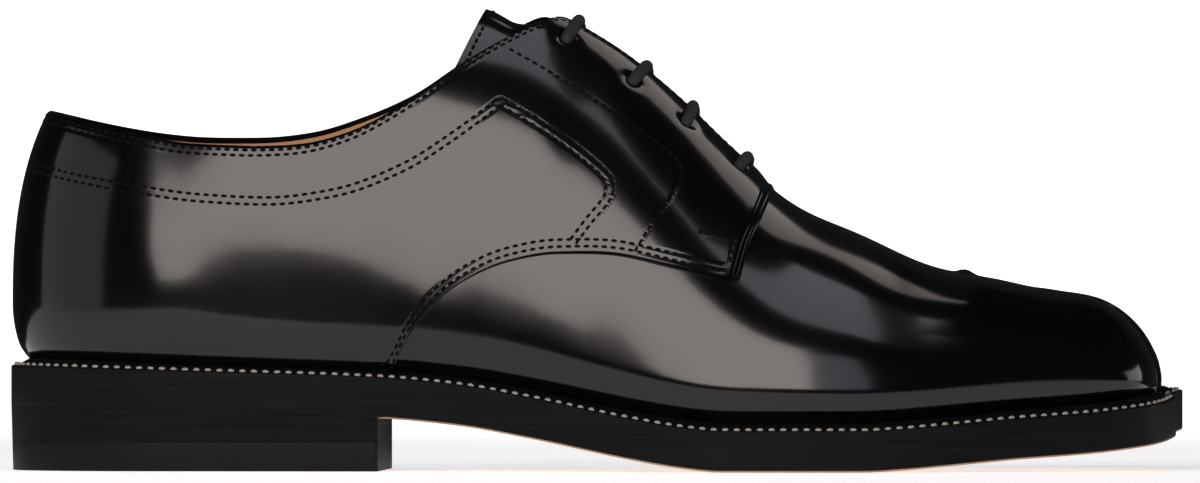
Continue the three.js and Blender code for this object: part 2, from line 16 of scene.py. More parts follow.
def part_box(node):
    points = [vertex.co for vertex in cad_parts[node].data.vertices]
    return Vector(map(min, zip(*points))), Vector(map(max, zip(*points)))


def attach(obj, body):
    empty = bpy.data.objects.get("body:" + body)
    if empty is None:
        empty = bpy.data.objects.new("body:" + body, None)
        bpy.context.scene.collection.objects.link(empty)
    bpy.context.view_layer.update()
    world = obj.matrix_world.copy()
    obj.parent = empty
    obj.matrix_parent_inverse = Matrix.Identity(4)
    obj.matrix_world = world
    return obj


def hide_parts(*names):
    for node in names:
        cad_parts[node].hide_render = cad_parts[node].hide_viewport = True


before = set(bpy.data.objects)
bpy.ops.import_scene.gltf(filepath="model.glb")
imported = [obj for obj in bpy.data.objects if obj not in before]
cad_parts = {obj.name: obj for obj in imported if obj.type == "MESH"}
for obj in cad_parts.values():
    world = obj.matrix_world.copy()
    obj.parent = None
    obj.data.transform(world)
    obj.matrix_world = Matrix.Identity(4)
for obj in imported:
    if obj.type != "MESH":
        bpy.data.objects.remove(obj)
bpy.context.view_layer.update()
print("solids:", len(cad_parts))

# %% [markdown]
# The last is the wooden foot that a shoe is made over. It is described by tables whose values
# are shares of a few main sizes, with a smooth curve drawn through each column. The curve keeps
# between the values on either side, so a flat stretch stays flat.

# %% The last's sizes and tables
LENGTH, BALL, INSTEP = 298, 96.5, 98.4
HEEL, TOE_SPRING, TOE_LIFT = 16.4, 8.3, 2.2
WELT_REACH, HEEL_TUCK, BELLY = 5.4, 3.2, 14
OUTSOLE, WELT, WELT_RISE, FIT = 6.6, 3.4, 1.5, 0.3


def table(columns, *rows):
    """Rows of numbers as named columns."""
    return dict(zip(columns.split(), np.array(rows, float).T))


sections = table(
    "at outer inner spine lean top",
    (0.0054, 0, 0, 0.128, 0, 0.849),
    (0.0141, 0.119, 0.119, 0.128, 0, 0.849),
    (0.0369, 0.217, 0.217, 0.128, 0, 0.849),
    (0.0738, 0.289, 0.286, 0.128, 0, 0.849),
    (0.1275, 0.324, 0.319, 0.128, 0, 0.849),
    (0.2013, 0.33, 0.315, 0.201, 0.005, 0.881),
    (0.2852, 0.335, 0.296, 0.285, 0.01, 0.945),
    (0.3624, 0.361, 0.288, 0.362, 0.021, 0.995),
    (0.4362, 0.402, 0.307, 0.436, 0.031, 1),
    (0.5034, 0.448, 0.35, 0.503, 0.041, 0.943),
    (0.5638, 0.489, 0.402, 0.564, 0.052, 0.834),
    (0.6174, 0.516, 0.446, 0.617, 0.057, 0.693),
    (0.6711, 0.524, 0.476, 0.671, 0.062, 0.558),
    (0.7282, 0.514, 0.487, 0.728, 0.073, 0.484),
    (0.7886, 0.481, 0.481, 0.789, 0.083, 0.39),
    (0.8456, 0.427, 0.465, 0.839, 0.104, 0.348),
    (0.896, 0.363, 0.442, 0.866, 0.124, 0.322),
    (0.9362, 0.29, 0.41, 0.866, 0.124, 0.322),
    (0.9648, 0.207, 0.373, 0.866, 0.124, 0.322),
    (0.9765, 0.083, 0.33, 0.866, 0.124, 0.322),
    (0.9829, -0.192, 0.192, 0.866, 0.124, 0.322),
)
fullness = table(
    "at wide crest side tuck reach",
    (0, 1, 2.45, 2, 1, 0.89),
    (0.128, 1, 2.45, 2, 0.9, 0.85),
    (0.201, 0.93, 2.9, 2, 0.75, 0.8),
    (0.285, 0.86, 2.6, 2, 0.65, 0.78),
    (0.362, 0.86, 1.9, 2, 0.6, 0.78),
    (0.436, 0.86, 1.45, 2.05, 0.6, 0.82),
    (0.503, 0.79, 1.25, 2.1, 0.55, 0.88),
    (0.617, 0.64, 1.35, 2.15, 0.5, 0.95),
    (0.728, 0.57, 1.6, 2.3, 0.5, 0.96),
    (0.866, 0.57, 1.68, 2.6, 0.38, 0.92),
    (0.936, 0.43, 1.68, 2.6, 0.3, 0.88),
    (0.976, 0.15, 1.68, 2.6, 0.12, 0.78),
    (0.983, 0.11, 1.68, 2.6, 0.08, 1),
)
underside = table(
    "at heel spring",
    (0, 1, 0),
    (0.168, 0.909, 0),
    (0.319, 0.817, 0),
    (0.386, 0.707, 0),
    (0.453, 0.494, 0),
    (0.52, 0.238, 0),
    (0.564, 0.091, 0),
    (0.59, 0.028, 0),
    (0.61, 0, 0),
    (0.73, 0, 0),
    (0.758, 0, 0.05),
    (0.792, 0, 0.155),
    (0.846, 0, 0.34),
    (0.923, 0, 0.61),
    (1, 0, 1),
)
topline = table(
    "at outer inner",
    (0.027, 0.649, 0.649),
    (0.083, 0.605, 0.614),
    (0.126, 0.581, 0.596),
    (0.159, 0.566, 0.59),
    (0.21, 0.564, 0.594),
    (0.252, 0.572, 0.611),
    (0.295, 0.609, 0.654),
    (0.337, 0.681, 0.714),
    (0.379, 0.783, 0.808),
    (0.426, 0.892, 0.918),
    (0.46, 0.957, 0.982),
    (0.48, 0.988, 1.016),
    (0.51, 1.105, 1.135),
)
quarter_edge = table(
    "at rise",
    (0.328, -0.06),
    (0.334, 0.02),
    (0.353, 0.131),
    (0.379, 0.22),
    (0.391, 0.25),
    (0.428, 0.319),
    (0.471, 0.367),
    (0.53, 0.397),
    (0.575, 0.389),
    (0.617, 0.372),
    (0.626, 0.378),
    (0.632, 0.452),
    (0.641, 0.522),
    (0.649, 0.599),
    (0.657, 0.72),
)


def bent(places, values, slopes, place):
    """A cubic curve through values, whose slope at each of them is given."""
    i = np.clip(np.searchsorted(places, place) - 1, 0, len(places) - 2)
    span = places[i + 1] - places[i]
    s = (place - places[i]) / span
    pull = slopes[i] * (s**3 - 2 * s**2 + s) + slopes[i + 1] * (s**3 - s**2)
    return values[i] + (values[i + 1] - values[i]) * (3 * s**2 - 2 * s**3) + pull * span


def smooth(places, values, place):
    """A smooth curve through a column, which never overshoots it."""
    slope = np.diff(values) / np.diff(places)
    before, after = slope[:-1], slope[1:]
    same = before * after > 0
    total = np.where(same, before + after, 1)
    inner = np.where(same, 2 * before * after / total, 0)
    slopes = np.concatenate([slope[:1], inner, slope[-1:]])
    return bent(places, values, slopes, np.clip(place, places[0], places[-1]))


def along(rows, column, x):
    """A column of a table at a place along the shoe."""
    return smooth(rows["at"] * LENGTH, rows[column], np.asarray(x, float))


def unit(vectors):
    return vectors / np.linalg.norm(vectors, axis=-1, keepdims=True)


def mix(a, b, share):
    return a * (1 - share) + b * share


def index_in(values, value):
    """Where a value lies among rising values, as an index between them."""
    return np.interp(value, values, np.arange(len(values)))


def hump(x, wide):
    """A soft hump, 1 high at its middle."""
    return np.exp(-((x / wide) ** 2))


def raised(plan, z):
    """Plan points with their heights."""
    return np.concatenate([plan, np.asarray(z)[..., None]], -1)


def square_to(way):
    """Ways in plan turned a quarter to the left."""
    return np.stack([-way[..., 1], way[..., 0]], -1)


TIP = len(sections["at"]) - 1
loop_rows = np.arange(-TIP - 1, TIP + 2)
turned = np.where(np.abs(loop_rows) > TIP, -np.sign(loop_rows) * (TIP - 1), loop_rows)
loop_x = sections["at"][np.abs(turned)] * LENGTH
loop_sides = [sections[column][np.abs(turned)] * BALL for column in ("outer", "inner")]
loop_y = np.where(turned < 0, -loop_sides[0], loop_sides[1])


def wrapped(row):
    """Rows past the tip as rows of the other side."""
    return np.where(np.abs(row) > TIP, row - np.sign(row) * 2 * TIP, row)


def outline(row, outwards=0):
    """Plan points of the last's widest line, moved outwards square to it."""
    row = np.asarray(row, float)

    def at(r):
        return np.stack([smooth(loop_rows, column, wrapped(r)) for column in (loop_x, loop_y)], -1)

    square = square_to(unit(at(row + 0.02) - at(row - 0.02)))
    return at(row) + square * np.asarray(outwards, float)[..., None]


def section(column, row):
    return smooth(np.arange(TIP + 1), sections[column], np.abs(row))


def underside_height(x, y):
    """Floor to the outsole's underside."""
    forward = np.clip((x / LENGTH - 0.85) / 0.15, 0, 1) ** 1.5
    inwards = (y / BALL + 0.1) / 0.4
    lift = along(underside, "heel", x) * HEEL + along(underside, "spring", x) * TOE_SPRING
    return lift + TOE_LIFT * forward * inwards


def welt_top(x, y):
    return underside_height(x, y) + OUTSOLE + FIT + WELT + WELT_RISE


def spine(row):
    """Where the two sides of a section meet, at its top."""
    x, y = section("spine", row) * LENGTH, section("lean", row) * BALL
    return np.stack([x, y, welt_top(x, y) + section("top", row) * INSTEP], -1)


def belly_height(edge):
    """Height of the widest part over a point of its outline."""
    x, y = edge[..., 0], edge[..., 1]
    return welt_top(x, y) + FIT + along(fullness, "wide", x) * BELLY


def tuck_at(x):
    return along(fullness, "tuck", x) * HEEL_TUCK


def rim_reach(x):
    return along(fullness, "reach", x) * WELT_REACH - tuck_at(x)


def skin(row, rise):
    """The last's surface: rise is -1 at the welt, 0 at the widest part and 1 at the top."""
    edge, top = outline(row), spine(row)
    x = edge[..., 0]
    foot, belly = welt_top(x, edge[..., 1]) + FIT, belly_height(edge)
    low = outline(row, -tuck_at(x) * rise**2)
    angle = np.clip(rise, 0, 1) * np.pi / 2
    up = np.sin(angle) ** (2 / along(fullness, "crest", x))
    across = np.clip(np.cos(angle), 0, 1) ** (2 / along(fullness, "side", x))
    across = np.where(rise > 0.9999, 0, across)[..., None]
    plan = np.where((rise <= 0)[..., None], low, top[..., :2] + (edge - top[..., :2]) * across)
    z = np.where(rise <= 0, belly - (foot - belly) * rise, belly + (top[..., 2] - belly) * up)
    return raised(plan, z)


# %% [markdown]
# Polished leather shows the smallest kink, so the last is measured once on a fine even net and
# rounded a little along its length. Everything that lies on it is then read from that net.

# %% The last as a fine net
def run_along(points):
    """The length of a line of points up to each of them."""
    steps = np.linalg.norm(np.diff(points, axis=0), axis=-1)
    return np.concatenate([0 * steps[:1], np.cumsum(steps, 0)])


def spread(points, count=None, step=None, closed=False):
    """Even places along a line of points, as indices between them."""
    run = run_along(points)
    count = count or max(int(run[-1] / step) + 1, 2)
    return np.interp(np.linspace(0, run[-1], count + closed), run, np.arange(len(points)))


def pick(points, places):
    """Points at indices between those of a line."""
    whole = np.arange(len(points))
    return np.stack([np.interp(places, whole, column) for column in points.T], -1)


def even(points, count=None, step=None):
    return pick(points, spread(points, count, step))


def rounded(values, sigma, closed=True):
    """A Gaussian average along the first axis, with sigma in steps."""
    reach = int(4 * sigma) + 1
    weights = np.exp(-0.5 * (np.arange(-reach, reach + 1) / sigma) ** 2)
    weights /= weights.sum()
    pad = [(reach, reach)] + [(0, 0)] * (values.ndim - 1)
    if closed:
        padded = np.pad(values, pad, mode="wrap")
    else:
        padded = 2 * np.pad(values, pad, mode="edge") - np.pad(values, pad, mode="reflect")
    return sum(w * padded[i : i + len(values)] for i, w in enumerate(weights))


fine_rows = np.linspace(-TIP, TIP, 4001)
station_rows = np.interp(
    spread(outline(fine_rows), step=1.2, closed=True), np.arange(len(fine_rows)), fine_rows
)[:-1]
GIRTHS = 160
girth_steps = np.linspace(0, 1, GIRTHS + 1)
rise_steps = np.concatenate([np.linspace(-1, 0, 200)[:-1], np.linspace(0, 1, 1800) ** 2])
sections_drawn = skin(*np.broadcast_arrays(station_rows[:, None], rise_steps))
net = rounded(np.stack([even(line, GIRTHS + 1) for line in sections_drawn]), 2.4)
FEATHER_HIGH, FEATHER_IN = 5.5, 1.7  # the leather turns in towards the welt's seam


def lengthways():
    return np.roll(net, -1, 0) - np.roll(net, 1, 0)


climbed = run_along(net.swapaxes(0, 1)).T
turn_in = FEATHER_IN * np.clip(1 - climbed / FEATHER_HIGH, 0, 1)[..., None] ** 2
net[..., :2] -= square_to(unit(lengthways()[:, :1, :2])) * turn_in
net_normals = np.cross(np.gradient(net, axis=1), lengthways())
net_normals[:, -2:] = net_normals[:, -3:-2]
net_normals = unit(net_normals)
opposite = index_in(station_rows, -station_rows)
facing_over = net_normals[np.round(opposite).astype(int) % len(net), -1]
net_normals[:, -1] = unit(net_normals[:, -1] + facing_over)
print("last:", net.shape[0], "stations of", net.shape[1], "points")


def cubic(values, a, b):
    """Reads a net between its points, round the first axis."""
    i, j = np.floor(a).astype(int), np.clip(np.floor(b), 0, values.shape[1] - 2).astype(int)

    def weights(t):
        return ((-t + 2 * t**2 - t**3) / 2, (2 - 5 * t**2 + 3 * t**3) / 2,
                (t + 4 * t**2 - 3 * t**3) / 2, (-(t**2) + t**3) / 2)

    wide, high = weights(a - i), weights(b - j)
    total = 0
    for m in range(4):
        for n in range(4):
            column = np.clip(j + n - 1, 0, values.shape[1] - 1)
            share = (wide[m] * high[n])[..., None]
            total = total + share * values[(i + m - 1) % len(values), column]
    return total


def on_last(row, girth, out=0.0):
    """Points over the last, a distance out from it. Girth is 0 at the welt and 1 at the top."""
    row, girth = np.broadcast_arrays(np.asarray(row, float), np.asarray(girth, float))
    a = index_in(station_rows, row)
    b = np.clip(girth, 0, 1) * GIRTHS
    return cubic(net, a, b) + unit(cubic(net_normals, a, b)) * np.asarray(out, float)[..., None]


def row_at(x):
    """The row of the section at a place along the shoe, ahead of the heel's fan."""
    return index_in(sections["at"] * LENGTH, x)


def column_at(row, axis):
    """One coordinate of the section at a row, from the welt to the top."""
    a = index_in(station_rows, row)
    i = int(a)
    return mix(net[i % len(net), :, axis], net[(i + 1) % len(net), :, axis], a - i)


def girth_at(row, z):
    """How far up its section a height lies."""
    row, z = np.broadcast_arrays(np.asarray(row, float), np.asarray(z, float))
    found = [np.interp(h, column_at(r, 2), girth_steps) for r, h in zip(row.ravel(), z.ravel())]
    return np.reshape(found, row.shape)


def belly_girth(row):
    """Where a section is widest."""
    return girth_at(row, belly_height(outline(row)))


def from_side(x, z, side):
    """Row and girth of a point drawn in side view."""
    x, z = np.asarray(x, float), np.asarray(z, float)
    row = side * row_at(x)
    for _ in range(25):
        girth = girth_at(row, z)
        miss = x - on_last(row, girth)[..., 0]
        row = side * np.clip(side * row + np.clip(miss / 20, -0.3, 0.3), 0, TIP)
    return row, girth_at(row, z)


def from_spine(x, sideways):
    """Row and girth of a point drawn in plan, a distance to the side of the spine."""
    x, sideways = np.broadcast_arrays(np.asarray(x, float), np.asarray(sideways, float))
    row = np.where(sideways < 0, -1, 1) * row_at(x)
    found = []
    for r, away in zip(row.ravel(), np.abs(sideways).ravel()):
        across = np.abs(column_at(r, 1) - column_at(r, 1)[-1])[::-1]
        widest = int(np.argmax(across))
        found.append(np.interp(away, across[:widest], girth_steps[::-1][:widest]))
    return row, np.reshape(found, row.shape)


# %% [markdown]
# The toes part in a cleft. It follows a line in plan that runs from the root, on top of the
# foot, to the tip. Its walls stand 2 mm apart, and each toe rounds over beside them. A Boolean
# would cut it with ragged edges that shine. So both the upper and the sole are made in two
# halves, which meet on that line behind the root.

# %% The cleft
CLEFT_START, CLEFT_SLANT, CLEFT_GAP = 0.815 * LENGTH, 11, 2
NOTCH_START, NOTCH_GAP = 0.9 * LENGTH, 1.6
TOE_ROUNDING, TOE_SHOULDER = 13, 7
PARTING = 222  # behind this the middle line is the spine
UNCUT_FROM = 205, 215  # how far back the uncut last is measured, low at the side and on top

at_front = (net[:, 20, 0] > UNCUT_FROM[0]) | (net[:, -1, 0] > UNCUT_FROM[1])
toe_faces = []
for i in np.flatnonzero(at_front & np.roll(at_front, -1)).tolist():
    for j in range(10, GIRTHS):
        a, b = (k % len(net) * (GIRTHS + 1) + j for k in (i, i + 1))
        toe_faces.append((a, b, b + 1, a + 1))
toe_tree = BVHTree.FromPolygons(net.reshape(-1, 3).tolist(), toe_faces)


def height_over(points):
    """Height of the uncut last over plan points in front of the quarters."""
    heights = np.full(len(points), np.nan)
    for k, (x, y) in enumerate(points):
        hit = toe_tree.ray_cast(Vector((x, y, 200)), Vector((0, 0, -1)))
        if hit[0] is not None:
            heights[k] = hit[0].z
    known = ~np.isnan(heights)
    if not known.all():
        whole = np.arange(len(points))
        heights = np.interp(whole, whole[known], heights[known])
    return heights


def spine_y(x):
    return smooth(sections["spine"][4:17] * LENGTH, sections["lean"][4:17] * BALL, x)


def step_up(x, start, end):
    share = np.clip((x - start) / (end - start), 0, 1)
    return share * share * (3 - 2 * share)


def middle(x):
    """The line in plan that the halves share: the spine, then the cleft's line."""
    x = np.asarray(x, float)
    cleft_line = BALL * (0.056 + 0.25 * (x / LENGTH - 0.8))
    return mix(spine_y(x), cleft_line, step_up(x, PARTING, CLEFT_START - 3))


def quarter_round(share):
    return 1 - np.sqrt(1 - np.clip(share, 0, 1) ** 2)


def cleft_half(x, root, gap, tip):
    """Half the width of the cleft, which opens from its root and rounds off each toe's tip."""
    open_up = np.minimum(1, np.sqrt(np.clip(x - root, 0, None) / (2 * gap)))
    return gap / 2 * open_up + quarter_round((x - tip) / TOE_ROUNDING + 1) * TOE_ROUNDING


def half_line(side, reach, start, gap, rear):
    """Plan line of one half: from the rear along its side, round the toe, back to the root."""
    tip = outline(side * TIP if side > 0 else 1 - TIP, reach(LENGTH))[0]
    first = 0 if rear is None else row_at(rear)
    rows = np.linspace(first, TIP + 0.95, 3000) * side
    plan_rows = wrapped(rows)
    points = outline(rows, reach(outline(rows)[..., 0]))
    half = cleft_half(points[:, 0], start, gap, tip)
    inside = (points[:, 0] > start) & (side * (points[:, 1] - middle(points[:, 0])) < half)
    cut = np.argmax(inside)
    points, plan_rows = points[:cut], plan_rows[:cut]
    wall_x = points[-1, 0] - (points[-1, 0] - start) * np.linspace(0, 1, 800) ** 2
    wall_x = wall_x[1:]
    wall = np.stack([wall_x, middle(wall_x) + side * cleft_half(wall_x, start, gap, tip)], -1)
    return points, plan_rows, wall, tip


crown_x = np.arange(PARTING - 5, outline(TIP)[0] - 0.5, 0.5)
crown_z = height_over(np.stack([crown_x, middle(crown_x)], -1))


TOE_ROW = 17.5  # the outline passes the toes' widest parts here
CREST_STEP = 1.5


def crest_line(side, x, dome):
    """The line in plan that the sections of one half rise to."""
    outer_edge = outline(side * TOE_ROW)[1]
    return mix(middle(x), (outer_edge + middle(dome)) / 2, step_up(x, PARTING, dome))


def on_crest(side, x, dome):
    """The crest over a place along the shoe, in even steps that all sections share."""
    steps = np.minimum(PARTING + np.round((x - PARTING) / CREST_STEP) * CREST_STEP, dome)
    x = np.where(x > PARTING, steps, x)
    return np.stack([x, crest_line(side, x, dome)], -1)


print("cleft: root at", round(CLEFT_START, 1), "mm from the heel's rear")

# %% [markdown]
# The vamp is one piece of calf leather that wraps the front of the foot. Each half is a sheet
# of sections: they start at the welt, climb the side, and end on the crest of their toe. On the
# cleft's side they start at the bottom of the cleft instead.

# %% The vamp's sections
VAMP_REAR = 96
VAMP_POINTS = 76  # of each section
LOW_POINTS, TOP_POINTS, CLIMB_POINTS, WALL_POINTS = 24, 120, 260, 40  # before they are evened
LIP_HIGH, LIP_REACH = 1.5, np.array([2.0, 3.5])  # the leather puckers at the cleft's root
CROWN_DROP, CROWN_AT, CROWN_LONG = 0.9, 268, 8  # each toe's top is a little flatter than the last


def vamp_half(side):
    edge, rows, wall, tip = half_line(side, np.zeros_like, CLEFT_START, CLEFT_GAP, VAMP_REAR)
    dome = tip - TOE_ROUNDING
    body_x = np.concatenate([np.arange(VAMP_REAR, PARTING, 1.5), np.linspace(PARTING, dome, 40)])
    body_rows = side * row_at(body_x)
    for _ in range(20):
        miss = body_x - outline(body_rows)[:, 0]
        body_rows = body_rows + side * np.clip(miss / 15, -0.3, 0.3)
    at_toe = (edge[:, 0] > dome) | (np.abs(rows) > TIP - 2)
    round_toe, round_rows = edge[at_toe], rows[at_toe]
    keep = spread(round_toe, step=1.1)[1:]
    unwrapped = np.where(np.sign(round_rows) == side, round_rows, round_rows + side * 2 * TIP)
    toe_rows = wrapped(np.interp(keep, np.arange(len(unwrapped)), unwrapped))
    toe_edge = pick(round_toe, keep)
    wall = wall[spread(wall, step=0.9).round().astype(int)]
    back_x = np.linspace(CLEFT_START, PARTING, 17)[1:]

    sheets = []
    low_shares = np.linspace(0, 1, LOW_POINTS)
    eased = np.linspace(0, 1, CLIMB_POINTS)[1:] ** 2

    def climb(base, crest, shoulder=True):
        """The top of a section, from its edge in plan to the crest."""
        plan = base + (crest - base) * eased[:, None]
        z = height_over(plan)
        if shoulder:
            grown = step_up(plan[:, 0], CLEFT_START, CLEFT_START + 3 * TOE_SHOULDER)
            room = z - welt_top(plan[:, 0], plan[:, 1]) - FIT
            radius = np.clip(TOE_SHOULDER * grown, 0.01, np.maximum(0.6 * room, 0.02))
            gap_edge = cleft_half(plan[:, 0], CLEFT_START, CLEFT_GAP, tip)
            away = np.clip(side * (plan[:, 1] - middle(plan[:, 0])) - gap_edge, 0, None)
            inside = np.clip(radius - away, 0, None)
            z = z - (radius - np.sqrt(np.clip(radius**2 - inside**2, 0, None)))
        return raised(plan, z)

    for x, row in zip(body_x, body_rows):
        belly = belly_girth(row)
        low = on_last(row, belly * low_shares)
        if x < PARTING:
            top = on_last(row, belly + (1 - belly) * np.linspace(0, 1, TOP_POINTS)[1:])
        else:
            top = climb(low[-1, :2], on_crest(side, x, dome))
        sheets.append(np.concatenate([low, top]))
    dome_point = on_crest(side, dome, dome)
    for base, row in zip(toe_edge, toe_rows):
        low = on_last(row, belly_girth(row) * low_shares)
        low[:, :2] += base - outline(row)
        top = climb(low[-1, :2], dome_point)
        sheets.append(np.concatenate([low, top[top[:, 2] > low[-1, 2]]]))
    for x, y in wall:
        crown = np.interp(x, crown_x, crown_z)
        foot = float(welt_top(x, y)) + FIT
        slant = np.clip((x - CLEFT_START) / CLEFT_SLANT, 0, 1)
        bottom = crown + (foot - crown) * slant
        top = climb(np.array([x, y]), on_crest(side, min(x, dome), dome))
        z = np.linspace(bottom, max(top[0, 2], bottom), WALL_POINTS)[:-1]
        depth = np.clip((crown - z) / (crown - foot), 0, 1)
        narrow = cleft_half(x, CLEFT_START + CLEFT_SLANT * depth, CLEFT_GAP, tip)
        low = np.stack([x + 0 * z, middle(x) + side * narrow, z], -1)
        first = int(np.argmin(top[:, 2] < bottom - 0.02))
        sheets.append(np.concatenate([low, top[first:]]))
    for x in back_x:
        start = np.array([x, float(middle(x))])
        sheets.append(climb(start, on_crest(side, x, dome), shoulder=False))
    net_half = np.stack([even(line, VAMP_POINTS) for line in sheets])
    soft = rounded(net_half, 1.2, closed=False)
    across = rounded(soft.swapaxes(0, 1), 1.5, closed=False).swapaxes(0, 1)
    soft = mix(soft, across, step_up(soft[..., :1], PARTING, PARTING + 15))
    soft[:, -1] = net_half[:, -1]
    soft[-len(back_x) :, 0] = net_half[-len(back_x) :, 0]
    root = np.array([CLEFT_START, float(middle(CLEFT_START))])
    from_root = np.linalg.norm((soft[..., :2] - root) / LIP_REACH, axis=-1)
    soft[..., 2] += LIP_HIGH * hump(from_root, 1)
    climbed = (soft[..., 2] - soft[:, :1, 2]) / 30
    drop = CROWN_DROP * hump(soft[..., 0] - CROWN_AT, CROWN_LONG)
    soft[..., 2] -= drop * step_up(climbed, 0.3, 1)
    return soft


vamp_nets = {side: vamp_half(side) for side in (-1, 1)}
for half in vamp_nets.values():
    print("vamp half:", half.shape[0], "sections of", half.shape[1])

# %% [markdown]
# Each sheet of leather starts as a grid primitive with one vertex for each point of its net.
# Laying the vertices on the net gives the leather its shape, and Solidify gives its thickness.

# %% Laying a grid on a net
MM = 0.001
rim_rows = np.linspace(-TIP, TIP, 4001)
rim = outline(rim_rows, rim_reach(outline(rim_rows)[..., 0]))
outsole_low, outsole_high = (np.array(corner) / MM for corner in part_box("outsole"))
to_frame = (outsole_low + outsole_high) / 2 - np.append((rim.min(0) + rim.max(0)) / 2, 0)
to_frame[2] = 0
print("from the sole's rear to the frame, mm:", to_frame.round(2))


def deselect():
    bpy.ops.object.select_all(action="DESELECT")


def choose(piece):
    """Makes one piece the only one selected, and active."""
    deselect()
    piece.select_set(True)
    bpy.context.view_layer.objects.active = piece


def made(name):
    """Names the object that an operator has just added."""
    piece = bpy.context.object
    piece.name = piece.data.name = name
    return piece


def put(piece, points):
    """Moves a mesh's vertices to points in millimetres on the shoe."""
    piece.data.vertices.foreach_set("co", ((points + to_frame) * MM).reshape(-1))
    piece.data.update()
    return piece


def places_of(piece):
    """A mesh's vertices as points in millimetres on the shoe."""
    places = np.empty(len(piece.data.vertices) * 3)
    piece.data.vertices.foreach_get("co", places)
    return places.reshape(-1, 3) / MM - to_frame


def lay(name, points, side=1):
    """A grid primitive laid on a net of points, which is turned round for the outer side."""
    deselect()
    points = points if side > 0 else points[::-1]
    rows, columns = points.shape[:2]
    bpy.ops.mesh.primitive_grid_add(x_subdivisions=columns - 1, y_subdivisions=rows - 1, size=1)
    return put(made(name), points)


def in_edit_mode(step, selected="SELECT", **settings):
    """Runs a mesh operator in Edit Mode, on all vertices or on those already selected."""
    bpy.ops.object.mode_set(mode="EDIT")
    if selected:
        bpy.ops.mesh.select_all(action=selected)
    step(**settings)
    bpy.ops.object.mode_set(mode="OBJECT")


def joined(name, pieces, weld=0.02):
    """Several meshes as one, with their shared edges sewn together."""
    deselect()
    for piece in pieces:
        piece.select_set(True)
    bpy.context.view_layer.objects.active = pieces[0]
    if len(pieces) > 1:
        bpy.ops.object.join()
    in_edit_mode(bpy.ops.mesh.remove_doubles, threshold=weld * MM)
    return made(name)


def outwards(piece):
    """Turns all faces of a closed mesh outwards."""
    in_edit_mode(bpy.ops.mesh.normals_make_consistent, inside=False)
    return piece


def thicken(piece, thickness):
    """Leather of one thickness, measured inwards from the laid face."""
    choose(piece)
    wall = piece.modifiers.new("leather", "SOLIDIFY")
    wall.thickness, wall.offset = thickness * MM, -1
    bpy.ops.object.modifier_apply(modifier=wall.name)
    return piece


def finish_piece(piece, slot, *nodes, angle=40):
    """Rides with the shoe and stands for its solids; the slot argument is not used."""
    choose(piece)
    bpy.ops.object.shade_smooth_by_angle(angle=np.radians(angle))
    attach(piece, "root")
    if nodes:
        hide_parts(*nodes)
    triangles = sum(len(face.vertices) - 2 for face in piece.data.polygons)
    print(piece.name, triangles, "triangles")
    return piece


# %% [markdown]
# The camera stands three metres off with a long lens, a hand's breadth over the floor, so that
# the shoe is drawn almost without perspective. It is turned a little and sees the heel's front.

# %% Camera
CAMERA_AWAY, CAMERA_HEIGHT, CAMERA_TURN = 3000, 39, np.radians(2.2)
AIM = np.array([149.8, 0, 58])
LENS, SENSOR = 354.4, 36
deselect()
bpy.ops.object.camera_add()
camera = made("camera")
camera_at = AIM + CAMERA_AWAY * np.array([np.sin(CAMERA_TURN), -np.cos(CAMERA_TURN), 0])
camera_at[2] = CAMERA_HEIGHT
camera.location = (camera_at + to_frame) * MM
camera.rotation_euler = Vector(AIM - camera_at).to_track_quat("-Z", "Y").to_euler()
camera.data.lens, camera.data.sensor_width = LENS, SENSOR
camera.data.clip_start, camera.data.clip_end = 0.1, 50
bpy.context.scene.camera = camera

# %% The vamp
VAMP_SEAM = 187  # the vamp ends here across the top of the foot, below the laces
UNDER_QUARTER = 8  # and this far up under the quarters


def share_height(x, share):
    return welt_top(x, 0) + share * INSTEP


def sew_halves():
    """Merges the open edges where the halves meet, which lie up to half a millimetre apart."""
    bpy.ops.mesh.select_mode(type="VERT")
    bpy.ops.mesh.select_non_manifold()
    bpy.ops.mesh.remove_doubles(threshold=0.5 * MM)
    bpy.ops.mesh.select_all(action="DESELECT")


vamp = joined("vamp", [lay("vamp_half", points, side) for side, points in vamp_nets.items()])
in_edit_mode(sew_halves, "DESELECT")
x, _, z = places_of(vamp).T
under_quarter = z > UNDER_QUARTER + share_height(x, along(quarter_edge, "rise", x))
vamp.data.vertices.foreach_set("select", (x < VAMP_SEAM) & under_quarter)
in_edit_mode(bpy.ops.mesh.delete, None, type="VERT")
thicken(vamp, 1.0)
finish_piece(vamp, "upper_leather", "upper")

# %% [markdown]
# A quarter is the side of the shoe, from the heel's back seam to the laces. Its four edges are
# drawn first: along the welt and up over the vamp, the front edge, the topline with the facing,
# and the back seam. The net between them is blended from the four edges.

# %% The quarters' edges
SIDES = {-1: "outer", 1: "inner"}
THROAT_HALF, THROAT_ROUND = 5.5, 8
THROAT_START, THROAT_END = 0.45 * LENGTH, 0.638 * LENGTH
TOPLINE_END = THROAT_END - 25
EDGE_TURN = 0.62 * LENGTH  # the seam over the vamp turns up here into the front edge
QUARTER_FACE = 1.5
QUARTER_LONG, QUARTER_HIGH = 240, 96


